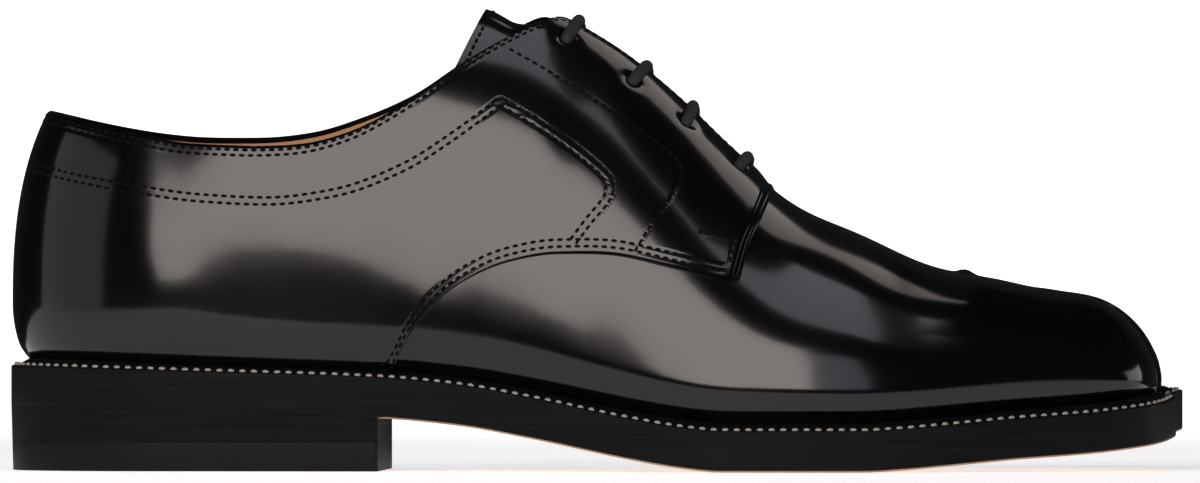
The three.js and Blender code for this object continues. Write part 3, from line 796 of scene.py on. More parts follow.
def quarter_edges(side):
    """Bottom, top, rear and front edge as rows and girths."""
    rows = np.linspace(0, row_at(TOPLINE_END), 500)
    girths = np.full(len(rows), 0.7)
    for _ in range(15):
        x = on_last(side * rows, girths)[..., 0]
        height = share_height(x, along(topline, SIDES[side], x))
        girths = 0.4 * girths + 0.6 * girth_at(side * rows, height)
    throat_x = np.linspace(THROAT_START, THROAT_END, 400)
    taper = np.sqrt(1 - np.clip((throat_x - THROAT_END) / THROAT_ROUND + 1, 0, 1) ** 2)
    gap = np.maximum(THROAT_HALF * taper, 0.15)
    throat_rows, throat_girths = from_spine(throat_x, side * gap)
    over = np.interp(rows, np.abs(throat_rows), throat_girths, left=2)
    corner = np.argmax(girths > over)
    ahead = np.abs(throat_rows) > rows[corner]
    top_rows = np.concatenate([rows[:corner], np.abs(throat_rows)[ahead]])
    top_girths = np.concatenate([girths[:corner], throat_girths[ahead]])

    edge_x, edge_share = quarter_edge["at"] * LENGTH, quarter_edge["rise"]
    turn = int(np.argmax(edge_x > EDGE_TURN))
    fine_x = np.linspace(edge_x[turn], edge_x[-1], 200)
    front_z = share_height(fine_x, smooth(edge_x[turn:], edge_share[turn:], fine_x))
    spine_z = spine(row_at(fine_x))[..., 2]
    ridge = int(np.argmax(front_z > spine_z - 0.05))
    front_rows, front_girths = from_side(fine_x[:ridge], front_z[:ridge], side)
    front_rows = np.append(front_rows, side * row_at(fine_x[ridge]))
    front_girths = np.append(front_girths, 0.998)
    fine_x = np.linspace(edge_x[0], edge_x[turn], 300)
    low_z = share_height(fine_x, smooth(edge_x[: turn + 1], edge_share[: turn + 1], fine_x))
    low_rows, low_girths = from_side(fine_x, low_z, side)
    welt_rows = np.linspace(0, np.abs(low_rows[0]), 300)[:-1]
    bottom = np.append(side * welt_rows, low_rows), np.append(0 * welt_rows, low_girths)
    top = np.append(side * top_rows, front_rows[-1]), np.append(top_girths, front_girths[-1])
    rear = np.zeros(100), np.linspace(0, top_girths[0], 100)
    return bottom, top, rear, (front_rows, front_girths)


def even_edge(edge, count, soften):
    """An edge of rows and girths with even steps over the last, its corners a little rounded."""
    fine = pick(np.stack(edge, -1), spread(on_last(*edge), 2000))
    soft = rounded(fine, soften, closed=False) if soften else fine
    return pick(soft, spread(on_last(*soft.T), count))


def blended(bottom, top, rear, front):
    """A net between four edges."""
    u = np.linspace(0, 1, len(bottom))[:, None, None]
    v = np.linspace(0, 1, len(rear))[None, :, None]
    sides = mix(rear - mix(bottom[0], top[0], v), front - mix(bottom[-1], top[-1], v), u)
    return mix(bottom[:, None], top[:, None], v) + sides


EDGE_ROWS = np.array([1.9, 1.5, 1.15, 0.8, 0.5, 0.25, 0.08, 0])  # from the topline, in millimetres
FRONT_ROWS = np.arange(3.3, -0.01, -0.3)  # from the front edge


def refined(lines, from_end):
    """Each line of a net again, with its last points at given distances from its end."""
    result = []
    for line in lines:
        run = run_along(on_last(*line.T))
        at = np.append(np.linspace(0, run[-1] - from_end[0], len(line))[:-1], run[-1] - from_end)
        result.append(pick(line, index_in(run, at)))
    return np.stack(result)


EDGE_COUNTS = (QUARTER_LONG, QUARTER_LONG, QUARTER_HIGH, QUARTER_HIGH)
EDGE_SOFTNESS = (6, 18, 0, 12)  # bottom, top, rear and front
quarter_nets = {}
for side in (-1, 1):
    four_edges = map(even_edge, quarter_edges(side), EDGE_COUNTS, EDGE_SOFTNESS)
    finer = refined(blended(*four_edges), EDGE_ROWS)
    quarter_nets[side] = refined(finer.swapaxes(0, 1), FRONT_ROWS).swapaxes(0, 1)

# %% [markdown]
# The lace pulls the leather in round its holes. There are no metal rings here, so a hole could
# be cut and filled again by the lace. A soft dimple is enough, because the lace hides the hole.

# %% Eyelets
EYELETS = np.array([0.474, 0.53, 0.575, 0.621]) * LENGTH
EYELET_HALF = THROAT_HALF + np.array([8.8, 10.6, 11, 9.5])  # from the spine to the holes
DIMPLE_DEEP, DIMPLE_WIDE = 1.0, 2.3
eyelet_points = {side: on_last(*from_spine(EYELETS, side * EYELET_HALF)) for side in (-1, 1)}


def dimples(side, points):
    """How far the leather sinks round the holes that the lace pulls into."""
    away = np.linalg.norm(points[..., None, :] - eyelet_points[side], axis=-1)
    return DIMPLE_DEEP * hump(away, DIMPLE_WIDE).sum(-1)


# %% [markdown]
# The quarters' net is read from the last at the leather's outer face. The front edge of each
# quarter is folded over a cord, so it stands up as a narrow ridge with a groove behind it. The
# topline is turned in over a small radius. The lining is a thin tan sheet on the same net, which
# meets the leather at the topline and stands back behind it further down.
# The ridge and the turn could be a bevel, but a bevel needs an edge loop at each place. Moving
# the net's own rows, which are closer together near the edges, gives the same with no cuts.

# %% The quarters and their lining
LEATHER, LINING = 1.4, 0.8
TOPLINE_ROUND = 1.4
RIDGE_HIGH, RIDGE_AT, RIDGE_WIDE = 0.7, 1.0, 0.8
GROOVE_DEEP, GROOVE_AT, GROOVE_WIDE = 0.3, 2.25, 0.5
FOLD_FADES = 4, 14  # from the topline, where ridge and groove begin and where they are full
# The corners at the throat round off.
THROAT_DROP, THROAT_DROP_LONG, THROAT_DROP_WIDE = 1.25, 4.5, 11


def from_edge(points, axis):
    """Distance of each point of a net from its last row or column."""
    return run_along(points.swapaxes(0, axis)[::-1])[::-1].swapaxes(0, axis)


# Soft hollows and swells: place along the shoe, height, reach along and up, and rise.
SWELLS = [(42.7, 43.5, 8, 9, 0.3), (52, 44, 10, 9, 0.12)]


def swells(base):
    """How far the leather bulges or sinks at a place on the last."""
    total = 0 * base[..., 0]
    for x, z, long, high, rise in SWELLS:
        total = total + rise * hump(base[..., 0] - x, long) * hump(base[..., 2] - z, high)
    return total


def leather_face(side, base):
    """How far the quarter's outer face stands off the last."""
    front, top = from_edge(base, 0), from_edge(base, 1)
    edge = np.clip(TOPLINE_ROUND - top, 0, None)
    turned_in = 0.9 * (TOPLINE_ROUND - np.sqrt(TOPLINE_ROUND**2 - edge**2))
    ridge = RIDGE_HIGH * hump(front - RIDGE_AT, RIDGE_WIDE)
    groove = GROOVE_DEEP * hump(front - GROOVE_AT, GROOVE_WIDE)
    fold = (ridge - groove) * step_up(top, *FOLD_FADES)
    drop = THROAT_DROP * hump(front, THROAT_DROP_LONG) * hump(top, THROAT_DROP_WIDE)
    return QUARTER_FACE - dimples(side, base) - turned_in + fold - drop + swells(base)


quarters, linings = {}, []
for side, name in ((-1, "quarter_outer_side"), (1, "quarter_inner_side")):
    rows, girths = np.moveaxis(quarter_nets[side], -1, 0)
    base = on_last(rows, girths)
    leather = lay(name + "_leather", on_last(rows, girths, leather_face(side, base)), side)
    quarters[side] = finish_piece(thicken(leather, LEATHER), "upper_leather", name)
    sink = 0.05 + 1.1 * step_up(from_edge(base, 1), 1, 6) + 0.5 * dimples(side, base)
    behind = on_last(rows, girths, -sink)[: -len(FRONT_ROWS) : 2, : -len(EDGE_ROWS) + 2]
    lining = lay("lining_" + SIDES[side], behind, side)
    linings.append(finish_piece(thicken(lining, LINING), "insole_leather", "upper"))

# %% [markdown]
# The tongue is a loose flap under the lacing. Its upper end springs a little away from the foot
# and is cut straight, so its middle stands highest behind the facings. A grid is laid on the
# last again, then lowered straight down where it sags. Moving it square to the last instead
# would fold it, because the last bends sharply there.

# %% The tongue
TONGUE_HALF, TONGUE_FRONT = 25, 203
TONGUE_FACE, TONGUE_DIP, TONGUE_DIP_WIDE = -2.2, 1.2, 9
TONGUE_END, TONGUE_CUT = (121.1, 117.6), 0.46  # the middle of its end, and how that leans
SPRING_AT, SPRING_LONG, SPRING_WIDE, SPRING_DEEP = 129.5, 5.5, 13, 2.6
tongue_sideways = np.linspace(-TONGUE_HALF, TONGUE_HALF, 61)


def tongue_at(x):
    """The tongue's outer face: its middle sags, and more so just ahead of its end."""
    points = on_last(*from_spine(x, tongue_sideways), TONGUE_FACE)
    spring = SPRING_DEEP * hump(x - SPRING_AT, SPRING_LONG) * hump(tongue_sideways, SPRING_WIDE)
    points[..., 2] -= TONGUE_DIP * hump(tongue_sideways, TONGUE_DIP_WIDE) + spring
    return points


tongue_top = np.full(61, TONGUE_END[0])
for _ in range(40):
    top_points = tongue_at(tongue_top)
    cut_x = TONGUE_END[0] + (top_points[:, 2] - TONGUE_END[1]) * TONGUE_CUT
    tongue_top = tongue_top + 0.5 * (cut_x - top_points[:, 0])
tongue_x = tongue_top[None] + (TONGUE_FRONT - tongue_top)[None] * np.linspace(0, 1, 90)[:, None]
tongue_points = tongue_at(tongue_x)
print("tongue top, mm:", tongue_points[0, 30].round(1), tongue_points[0, 0].round(1))
tongue = thicken(lay("tongue_leather", tongue_points[::-1]), 1.8)
finish_piece(tongue, "upper_leather", "tongue")

# %% [markdown]
# The sock lining is the tan leather that the foot stands on. It covers the insole board and
# turns up a little at its edge, where it meets the lining of the sides.

# %% The sock lining
SOCK_RISE, SOCK_INSET, SOCK_CUP = 2.5, 2.6, 1.6
heel_turn = np.linspace(0, np.pi / 2, 24)
sock_x = np.concatenate([4.2 + 20 * (1 - np.cos(heel_turn)), np.arange(26, 236, 3)])
sock_sides = []
for side in (-1, 1):
    rows = side * np.linspace(0, TIP - 2, 2000)
    edge = outline(rows, -tuck_at(outline(rows)[:, 0]) - SOCK_INSET)
    sock_sides.append(np.stack([sock_x, np.interp(sock_x, edge[:, 0], edge[:, 1])], -1))
share = np.linspace(0, 1, 41)[None, :, None]
sock_plan = mix(sock_sides[1][:, None], sock_sides[0][:, None], share)
cup = SOCK_CUP * np.abs(2 * share[..., 0] - 1) ** 4
sock_z = welt_top(sock_plan[..., 0], sock_plan[..., 1]) + SOCK_RISE + cup
sock = thicken(lay("sock_lining", raised(sock_plan, sock_z)[::-1]), 1.0)
finish_piece(sock, "insole_leather")

# %% [markdown]
# The sole is cut from thick leather, sewn to the welt, and its edge is dressed black. Outsole
# and welt follow one line round both toes and into the notch between them. An outline filled
# with one face and extruded would be quicker, but the sole is arched, and its notch needs faces
# that follow it. So a layer is made of an edge wall that runs round that line, and of an upper
# and a lower sheet for each half.

# %% The sole's line
SOLE_STATIONS, SHEET_ROWS = 150, 13  # along to the parting line, and from edge to middle
HEEL_POLE = 14  # the sheets of the heel's round meet this far in


def sole_half(side):
    """Stations of one half: the rim from the heel to the notch's root, and their crest."""
    points, _, wall, tip = half_line(side, rim_reach, NOTCH_START, NOTCH_GAP, None)
    start = points[0, 0]
    turn = np.linspace(0, np.pi / 2, SOLE_STATIONS + 1)
    x = start + (PARTING - start) * (1 - np.cos(turn))
    back = np.stack([x, np.interp(x, points[:, 0], points[:, 1])], -1)
    toe = even(np.concatenate([back[-1:], points[points[:, 0] > PARTING + 0.2], wall]), step=1.3)
    return np.concatenate([back[:-1], toe]), tip - TOE_ROUNDING


sole_line = {side: sole_half(side) for side in (-1, 1)}
rim_loop = np.concatenate([sole_line[1][0], sole_line[-1][0][::-1][1:-1]])
rim_inwards = -square_to(unit(rounded(np.roll(rim_loop, -1, 0) - np.roll(rim_loop, 1, 0), 1.0)))
print("sole's line:", len(rim_loop), "points")


def layer_edge(profile):
    """The edge wall: profile rows give the distance inwards and the height at each point."""
    lines = []
    for inwards, height in profile:
        plan = rim_loop + rim_inwards * np.broadcast_to(inwards, len(rim_loop))[:, None]
        lines.append(raised(plan, height(*plan.T)))
    wall = np.stack(lines, 1)
    return np.concatenate([wall, wall[:1]])


def layer_sheet(side, edge, height, up):
    """Half of a layer's upper or lower face, from the edge line to the middle."""
    stations, dome = sole_line[side]
    count = len(stations)
    base = edge[:count] if side > 0 else np.roll(edge[::-1], 1, 0)[:count]
    crest = on_crest(side, np.clip(stations[:, 0], HEEL_POLE, dome), dome)
    back_x = np.linspace(NOTCH_START, PARTING, 40)[1:]
    back = np.stack([back_x, middle(back_x)], -1)
    back_crest = on_crest(side, back_x, dome)
    base, crest = np.concatenate([base, back]), np.concatenate([crest, back_crest])
    share = np.linspace(0, 1, SHEET_ROWS)[None, :, None]
    plan = mix(base[:, None], crest[:, None], share)
    away = np.linalg.norm(plan - base[:, None], axis=-1)
    away[count:] = 99  # the middle line is far from any edge
    points = raised(plan, height(plan[..., 0], plan[..., 1], away))
    return points if (side > 0) == up else points[::-1]


def layer(name, profile, low, high):
    """A whole layer of the sole as one closed mesh."""
    wall = layer_edge(profile)
    parts = [lay(name, wall)]
    for side in (-1, 1):
        parts.append(lay(name, layer_sheet(side, wall[:-1, 0, :2], low, False)))
        parts.append(lay(name, layer_sheet(side, wall[:-1, -1, :2], high, True)))
    return outwards(joined(name, parts))


def over_underside(rise):
    return lambda x, y, away=0: underside_height(x, y) + rise


# %% Outsole and welt
SEAM = OUTSOLE + FIT / 2  # where the outsole's dressed edge meets the welt's
FLUSH = 0.04  # corners that meet another layer
HEEL_LENGTH = 0.32 * LENGTH
# The outsole's lower corner is almost sharp over the heel and rounded ahead of it.
OUTSOLE_ROUND = 0.12 + 0.58 * step_up(rim_loop[:, 0], HEEL_LENGTH - 1, HEEL_LENGTH + 1.5)


def corner(radius):
    """Steps round a corner: how far in and how far along, from its start to its end."""
    turn = np.linspace(0, np.pi / 2, 5 if np.max(radius) > 0.2 else 2)
    return [(radius * (1 - np.cos(a)), radius * (1 - np.sin(a))) for a in turn]


def edge_profile(low, high, round_low, round_high):
    """An edge from one height over the underside to another, with its corners rounded."""
    rows = [(inwards, low + up) for up, inwards in corner(round_low)]
    rows += [(0, low + (high - low) * share) for share in (0.3, 0.5, 0.7)]
    rows += [(inwards, high - down) for inwards, down in corner(round_high)]
    return [(inwards, over_underside(height)) for inwards, height in rows]


RIM_TOP = OUTSOLE + FIT + WELT


def welt_face(x, y, away):
    """The welt's upper face, which rises to the upper and closes on it."""
    rise = (WELT_RISE + FIT + 0.3) * step_up(away, 0.3, WELT_REACH)
    return underside_height(x, y) + RIM_TOP + rise


outsole_edge = edge_profile(0, SEAM, OUTSOLE_ROUND, FLUSH)
outsole = layer("outsole_leather", outsole_edge, over_underside(0), over_underside(SEAM))
finish_piece(outsole, "sole_leather", "outsole")
welt_edge = edge_profile(SEAM, RIM_TOP, FLUSH, 0.45)
welt = layer("welt_leather", welt_edge, over_underside(SEAM), welt_face)
finish_piece(welt, "sole_leather", "welt")

# %% [markdown]
# The heel is a stack: a wedge of leather that levels the arched sole, a flat lift, and a rubber
# top piece that meets the floor. Each layer is a closed band round the heel's line, whose front,
# the breast, is a flat cut across.

# %% The heel
HEEL_TAPER = 0.45
HEEL_AROUND, HEEL_ACROSS = 130, 42  # points along each side, and across the breast
TOP_PIECE, FLAT_LIFT = 0.445 * HEEL, 0.244 * HEEL


def heel_line(height, inset):
    """The heel's line at a height: both sides to the breast's rounded corners."""
    rim_half = {}
    for side in (-1, 1):
        stations = sole_line[side][0]
        ahead = stations[stations[:, 0] < HEEL_LENGTH + 4]
        inwards = rim_inwards if side > 0 else np.concatenate([rim_inwards[:1], rim_inwards[::-1]])
        taper = HEEL_TAPER * (1 - height / HEEL) + inset
        rim_half[side] = ahead + inwards[: len(ahead)] * taper
    line = even(np.concatenate([rim_half[-1][::-1], rim_half[1][1:]]), step=0.4)
    front = HEEL_LENGTH - inset
    line = line[line[:, 0] < front]
    return np.concatenate([[(front, line[0, 1])], line, [(front, line[-1, 1])]])


def heel_layer(name, low, high, low_height, high_height, soften):
    """A closed band with an upper and a lower face."""
    across = np.linspace(0, 1, HEEL_ACROSS)[:, None]

    def ring(face, rise, height, inset):
        sides = even(heel_line(height, inset), 2 * HEEL_AROUND)
        breast = sides[-1] + (sides[0] - sides[-1]) * across[1:-1]
        loop = rounded(np.concatenate([sides, breast]), 0.8)
        return raised(loop, face(*loop.T) + rise)

    rings = [ring(low, up, low_height, inset) for up, inset in corner(soften)]
    rings += [ring(high, -down, high_height, inset) for inset, down in corner(soften)]
    wall = np.stack(rings, 1)
    parts = [lay(name, np.concatenate([wall, wall[:1]]))]
    for ring_points, face, side in ((wall[:, 0], low, 1), (wall[:, -1], high, -1)):
        sides, breast = ring_points[: 2 * HEEL_AROUND, :2], ring_points[2 * HEEL_AROUND :, :2]
        one, other = sides[:HEEL_AROUND], sides[::-1][:HEEL_AROUND]
        plan = mix(other[:, None], one[:, None], across)
        plan[0, 1:-1] = breast
        plan[-1, 1:] = one[-1]
        parts.append(lay(name, raised(plan, face(plan[..., 0], plan[..., 1])), side))
    return outwards(joined(name, parts))


def flat(height):
    return lambda x, y: height + 0 * x


lift_foot = TOP_PIECE + FIT / 2
lift_top = TOP_PIECE + FIT + FLAT_LIFT + FIT / 2
heel_faces = flat(0), flat(lift_foot), flat(lift_top), over_underside(-0.02)
top_piece = heel_layer("heel_top_rubber", *heel_faces[:2], 0, lift_foot, 0.25)
finish_piece(top_piece, "heel_rubber", "heel_top_piece")
flat_lift = heel_layer("heel_flat_lift", *heel_faces[1:3], lift_foot, lift_top, FLUSH)
finish_piece(flat_lift, "sole_leather", "heel_lift_2")
wedge = heel_layer("heel_wedge_lift", *heel_faces[2:], lift_top, HEEL, FLUSH)
finish_piece(wedge, "sole_leather", "heel_lift_1")

# %% [markdown]
# The lace is a round waxed cord. Four crossings show, each held by a hole in either facing, and
# the rest is hidden under the facings. A crossing is a curve with a round bevel, because a curve
# keeps its thickness where it bends, and both its ends dive into their holes.

# %% The laces
LACE = 3.1
LACE_OVER = QUARTER_FACE + LACE / 2 - 0.9  # a pulled lace presses into the leather
LACE_DIVE = 0.85  # under the last's surface, where its ends stop


def lace_lead(x, half):
    """How far ahead of its eyelets the middle of a crossing lies."""
    eyelet_z = float(on_last(*from_spine(x, -half))[2])
    lead = 0.0
    for _ in range(8):
        here, ahead = (float(on_last(*from_spine(x + lead + step, 0.01))[2]) for step in (0, 1))
        lead = (here - eyelet_z) * (here - ahead)
    return lead


def tube(name, points, diameter):
    """A curve with a round section, turned into a mesh."""
    deselect()
    bpy.ops.curve.primitive_bezier_curve_add()
    cord = made(name)
    cord.data.splines.clear()
    line = cord.data.splines.new("POLY")
    line.points.add(len(points) - 1)
    for knot, place in zip(line.points, (points + to_frame) * MM):
        knot.co = (*place, 1)
    cord.data.dimensions = "3D"
    cord.data.bevel_depth = diameter / 2 * MM
    cord.data.bevel_resolution = 5  # round enough at this thickness
    cord.data.use_fill_caps = True
    bpy.ops.object.convert(target="MESH")
    return joined(name, [made(name)])


def cord_path(knots, count):
    """A smooth curve through a few knots."""
    knots = np.array(knots)
    run = np.append(0, np.cumsum(np.linalg.norm(np.diff(knots, axis=0), axis=-1) ** 0.5))
    way = np.gradient(knots, run, axis=0)
    at = np.linspace(0, run[-1], count)
    return np.stack([bent(run, *columns, at) for columns in zip(knots.T, way.T)], -1)


laces = []
for number, (x, half) in enumerate(zip(EYELETS, EYELET_HALF), 1):
    lead = lace_lead(x, half)
    ends, rims = [], []
    for side in (-1, 1):
        hole = from_spine(x, side * half)
        ends.append([on_last(*hole, -LACE_DIVE), on_last(*hole, 1.0)])
        rims.append([])
        for share in (0.8, 0.45):
            place = from_spine(x + lead * (1 - share**2), side * share * half)
            rims[-1].append(on_last(*place, LACE_OVER))
    knots = ends[0] + rims[0] + [(rims[0][1] + rims[1][1]) / 2] + rims[1][::-1] + ends[1][::-1]
    cord = tube(f"lace_crossing_{number}", cord_path(knots, 60), LACE)
    laces.append(finish_piece(cord, "lace_cord", f"lace_bar_{number}"))

# %% [markdown]
# Seams are rows of single stitches. A texture of stitches would blur and stretch close up, and
# real thread catches its own light. So one stitch is a small long bead. An Array makes as many
# as the seam needs, and each is laid on the leather along its line, half sunk into it.

# %% A row of stitches
def sewn(name, line, normals, pitch, size, sink=0.3):
    """Stitches along a line: size is length, width and height, sink the share that is let in."""
    count = max(int(run_along(line)[-1] / pitch), 1)
    places = spread(line, count + 1)
    ends, up = pick(line, places), pick(normals, (places[1:] + places[:-1]) / 2)
    way = unit(ends[1:] - ends[:-1])
    aside = unit(np.cross(up, way))
    up = np.cross(way, aside)
    deselect()
    bpy.ops.mesh.primitive_uv_sphere_add(segments=6, ring_count=4, radius=0.5)
    bead = made(name)
    row = bead.modifiers.new("row", "ARRAY")
    row.count, row.relative_offset_displace = count, (2, 0, 0)
    one = np.array([v.co for v in bead.data.vertices])
    bpy.ops.object.modifier_apply(modifier=row.name)
    one = np.stack([one[:, 2], one[:, 0], one[:, 1]], -1)
    one[:, 0] = np.sign(one[:, 0]) * np.abs(2 * one[:, 0]) ** 0.8 / 2  # blunter ends
    local = one * np.array(size) - (0, 0, sink * size[2] / 2)
    centres = (ends[1:] + ends[:-1]) / 2
    return put(bead, centres[:, None] + local @ np.stack([way, aside, up], 1))


def on_face(rows_girths, out):
    """A line of rows and girths as points on a face of the leather, and the normals there."""
    points = on_last(*rows_girths.T, out)
    return points, on_last(*rows_girths.T, out + 1) - points


# %% [markdown]
# Each seam's place was measured on the photograph. `seen` turns its pixels into places on the
# last: it finds the point of the near side that the camera sees there.

# %% Where the seams run
PIXELS_PER_MM, IMAGE_MIDDLE = 3.938, (600, 241.5)


def seen(pixels):
    """Rows and girths of points in the photo on the outer side."""
    y = np.full(len(pixels), -35.0)  # a first guess at how near the points are
    for _ in range(12):
        scale = PIXELS_PER_MM * CAMERA_AWAY / (CAMERA_AWAY + y)
        x = AIM[0] + (pixels[:, 0] - IMAGE_MIDDLE[0]) / scale - y * np.tan(CAMERA_TURN)
        rise = (AIM[2] - CAMERA_HEIGHT) * y / CAMERA_AWAY
        z = AIM[2] + rise - (pixels[:, 1] - IMAGE_MIDDLE[1]) / scale
        rows, girths = from_side(x, z, -1)
        y = on_last(rows, girths, QUARTER_FACE)[:, 1]
    return np.stack([rows, girths], -1)


def drawn(*pixels):
    """A smooth line through points of the photo."""
    knots = np.array(pixels, float)
    run = run_along(knots)
    fine = np.linspace(0, run[-1], int(run[-1] / 4) + 2)  # about four pixels apart
    line = np.stack([smooth(run, column, fine) for column in knots.T], -1)
    return rounded(line, 1.0, closed=False)


def beside(line, distance):
    """The same line moved sideways in the photo."""
    return line + distance * square_to(unit(np.gradient(line, axis=0)))


def mirrored(rows_girths):
    """The same line on the inner side."""
    x, _, z = on_last(*rows_girths.T).T
    return np.stack(from_side(x, z, 1), -1)


def inside_edge(columns, distance):
    """A line on a quarter at a distance from where its net's columns start."""
    result = []
    for column in columns:
        run = run_along(on_last(*column.T))
        result.append(pick(column, index_in(run, distance)))
    return np.array(result)


SEAM_PAIR = 7  # pixels between the two rows of a double seam
band = drawn(
    (34, 163), (67, 173), (133, 186), (200, 195), (267, 198),
    (333, 190), (400, 166), (452, 134), (497, 101),
)
band_fall = drawn(
    (501, 100), (535, 120), (571, 144), (595, 163), (611, 179),
    (614, 192), (608, 205), (592, 224), (575, 247),
)
facing = drawn(
    (507, 51), (549, 75), (588, 99), (627, 125), (669, 157),
    (678, 166), (680, 177), (672, 197), (651, 227), (634, 255),
)
tack = [drawn((701, 236), (733, 243)), drawn((733, 243), (729, 266))]
front_seam = drawn((744, 240), (735, 272))
double = [band, beside(band, SEAM_PAIR), band_fall, beside(band_fall, SEAM_PAIR)]
seams = {-1: [seen(line) for line in (*double, facing, *tack, front_seam)]}
seams[1] = [mirrored(line) for line in seams[-1]]
LOW_SEAMS, LOW_SEAMS_FROM = (1.2, 3.0), 96  # inside the lower edge, from this place forwards
TOP_SEAMS = 1.55, 3.1  # inside the topline
for side, columns in quarter_nets.items():
    first = int(np.argmax(on_last(*columns[:, 0].T)[:, 0] > LOW_SEAMS_FROM))
    low, top = columns[first : QUARTER_LONG - 2], columns[: QUARTER_LONG - 12, ::-1]
    seams[side] += [inside_edge(low, distance) for distance in LOW_SEAMS]
    seams[side] += [inside_edge(top, distance) for distance in TOP_SEAMS]

# %% The seams on the quarters
THREAD_PITCH, THREAD = 2.25, (1.7, 0.95, 0.45)
stitches = []
for side, lines in seams.items():
    rows = [sewn("stitches", *on_face(line, QUARTER_FACE), THREAD_PITCH, THREAD) for line in lines]
    sewn_side = joined("stitches_" + SIDES[side], rows, weld=0)
    stitches.append(finish_piece(sewn_side, "upper_leather", angle=180))

# %% The tongue's seam
TONGUE_SEAM_ROW = 2  # of the net, 1.8 mm from the end
seam_line = tongue_points[TONGUE_SEAM_ROW]
next_row = tongue_points[TONGUE_SEAM_ROW + 1] - seam_line
seam_normals = np.cross(np.gradient(seam_line, axis=0), next_row)
seam_normals *= -np.sign(seam_normals[:, 2:].sum())
tongue_stitches = sewn("stitches_tongue", seam_line, seam_normals, THREAD_PITCH, THREAD)
stitches.append(finish_piece(tongue_stitches, "upper_leather", angle=180))

# %% The welt's stitches
WELT_PITCH, WELT_THREAD = 2.9, (1.75, 0.9, 1.25)
WELT_SEAM_IN, WELT_SEAM_UP = 1.1, 0.1
welt_plan = rim_loop + rim_inwards * WELT_SEAM_IN
welt_line = raised(welt_plan, welt_face(*welt_plan.T, WELT_SEAM_IN) + WELT_SEAM_UP)
welt_line = np.concatenate([welt_line, welt_line[:1]])
upright = np.tile([0.0, 0.0, 1.0], (len(welt_line), 1))
welt_stitches = sewn("welt_stitches", welt_line, upright, WELT_PITCH, WELT_THREAD, sink=0.0)
finish_piece(welt_stitches, "sole_leather", angle=180)

# %% [markdown]
# Materials. Each is built from nodes on Object coordinates, which are metres on the shoe, so a
# pattern's scale is worked out from its real size. Colours are the hex values of the photo's
# darker and lighter parts, turned to linear light.

# %% Helpers for materials
def linear(hex_colour):
    """An sRGB hex colour as linear light."""
    channels = [int(hex_colour[i : i + 2], 16) / 255 for i in (1, 3, 5)]
    return [c / 12.92 if c <= 0.04045 else ((c + 0.055) / 1.055) ** 2.4 for c in channels] + [1]


def node(tree, kind, settings=None, **links):
    """Adds a node: settings are attributes or input values, links are input=output."""
    added = tree.nodes.new("ShaderNode" + kind)
    for key, value in (settings or {}).items():
        if hasattr(added, key):
            setattr(added, key, value)
        else:
            added.inputs[key].default_value = value
    for key, output in links.items():
        tree.links.new(added.inputs[key], output)
    return added


def noise(tree, place, size, detail, roughness=0.5):
    """Cloudy noise whose features have a size in millimetres, on coordinates in metres."""
    values = {"Scale": 1 / (size * MM), "Detail": detail, "Roughness": roughness}
    return node(tree, "TexNoise", values, Vector=place).outputs["Fac"]


def ranged(tree, value, start, end, low=0.0, high=1.0, kind="SMOOTHSTEP"):
    """Runs from low to high while a value goes from start to end."""
    values = {"From Min": start, "From Max": end, "To Min": low, "To Max": high}
    values["interpolation_type"] = kind
    return node(tree, "MapRange", values, Value=value).outputs["Result"]


def tones(tree, value, dark, light, start=0.0, end=1.0):
    """Runs from a dark to a light colour while a value goes from start to end."""
    ramp = node(tree, "ValToRGB", Fac=value)
    for stop, colour, position in zip(ramp.color_ramp.elements, (dark, light), (start, end)):
        stop.color, stop.position = linear(colour), position
    return ramp.outputs["Color"]


def bump(tree, height, strength, deep, **under):
    """Normals of a relief some millimetres deep. One bump may lie over the Normal of another."""
    values = {"Strength": strength, "Distance": deep * MM}
    return node(tree, "Bump", values, Height=height, **under).outputs["Normal"]


def new_material(name, **values):
    """A material, whose shader takes these values and colours."""
    material = bpy.data.materials.new(name)
    material.use_nodes = True
    tree = material.node_tree
    shader = tree.nodes["Principled BSDF"]
    for key, value in values.items():
        shader.inputs[key.replace("_", " ")].default_value = value
    place = tree.nodes.new("ShaderNodeTexCoord").outputs["Object"]
    return material, tree, shader, place


def dress(material, *pieces):
    for piece in pieces:
        piece.data.materials.clear()
        piece.data.materials.append(material)


# %% Polished calf leather
SEAM_SINKS, SEAM_FAR = 1.1, 6.0  # how far beside a seam the leather dips, and where none is near


def polished_calf():
    """Box calf, dyed through, waxed and polished."""
    # The eye gets a deep black whose shine is soft at its edges, as wax fills a fine grain. The
    # dye is a touch cloudy, and the skin under the gloss rolls a little.
    material, tree, shader, place = new_material(
        "calf_leather_polished",
        Specular_IOR_Level=0.36, Coat_Weight=0.15, Coat_Roughness=0.06, Coat_IOR=1.5,
    )
    cloudy = noise(tree, place, 18, 3)
    tree.links.new(shader.inputs["Base Color"], tones(tree, cloudy, "#030405", "#060708"))
    tree.links.new(shader.inputs["Roughness"], ranged(tree, cloudy, 0, 1, 0.11, 0.16, "LINEAR"))
    fine = bump(tree, noise(tree, place, 0.7, 4, 0.6), 0.1, 0.03)
    waves = bump(tree, noise(tree, place, 9, 2), 0.1, 0.2, Normal=fine)
    seam = node(tree, "Attribute", {"attribute_name": "seam"}).outputs["Fac"]
    sunk = bump(tree, ranged(tree, seam, 0, SEAM_SINKS), 0.14, 0.3, Normal=waves)
    tree.links.new(shader.inputs["Normal"], sunk)
    tree.links.new(shader.inputs["Coat Normal"], sunk)
    return material


def mark(piece, distances):
    """Stores each vertex's distance to the nearest seam, in millimetres, for the material."""
    seam = piece.data.attributes.new("seam", "FLOAT", "POINT")
    seam.data.foreach_set("value", np.array(distances, np.float32))


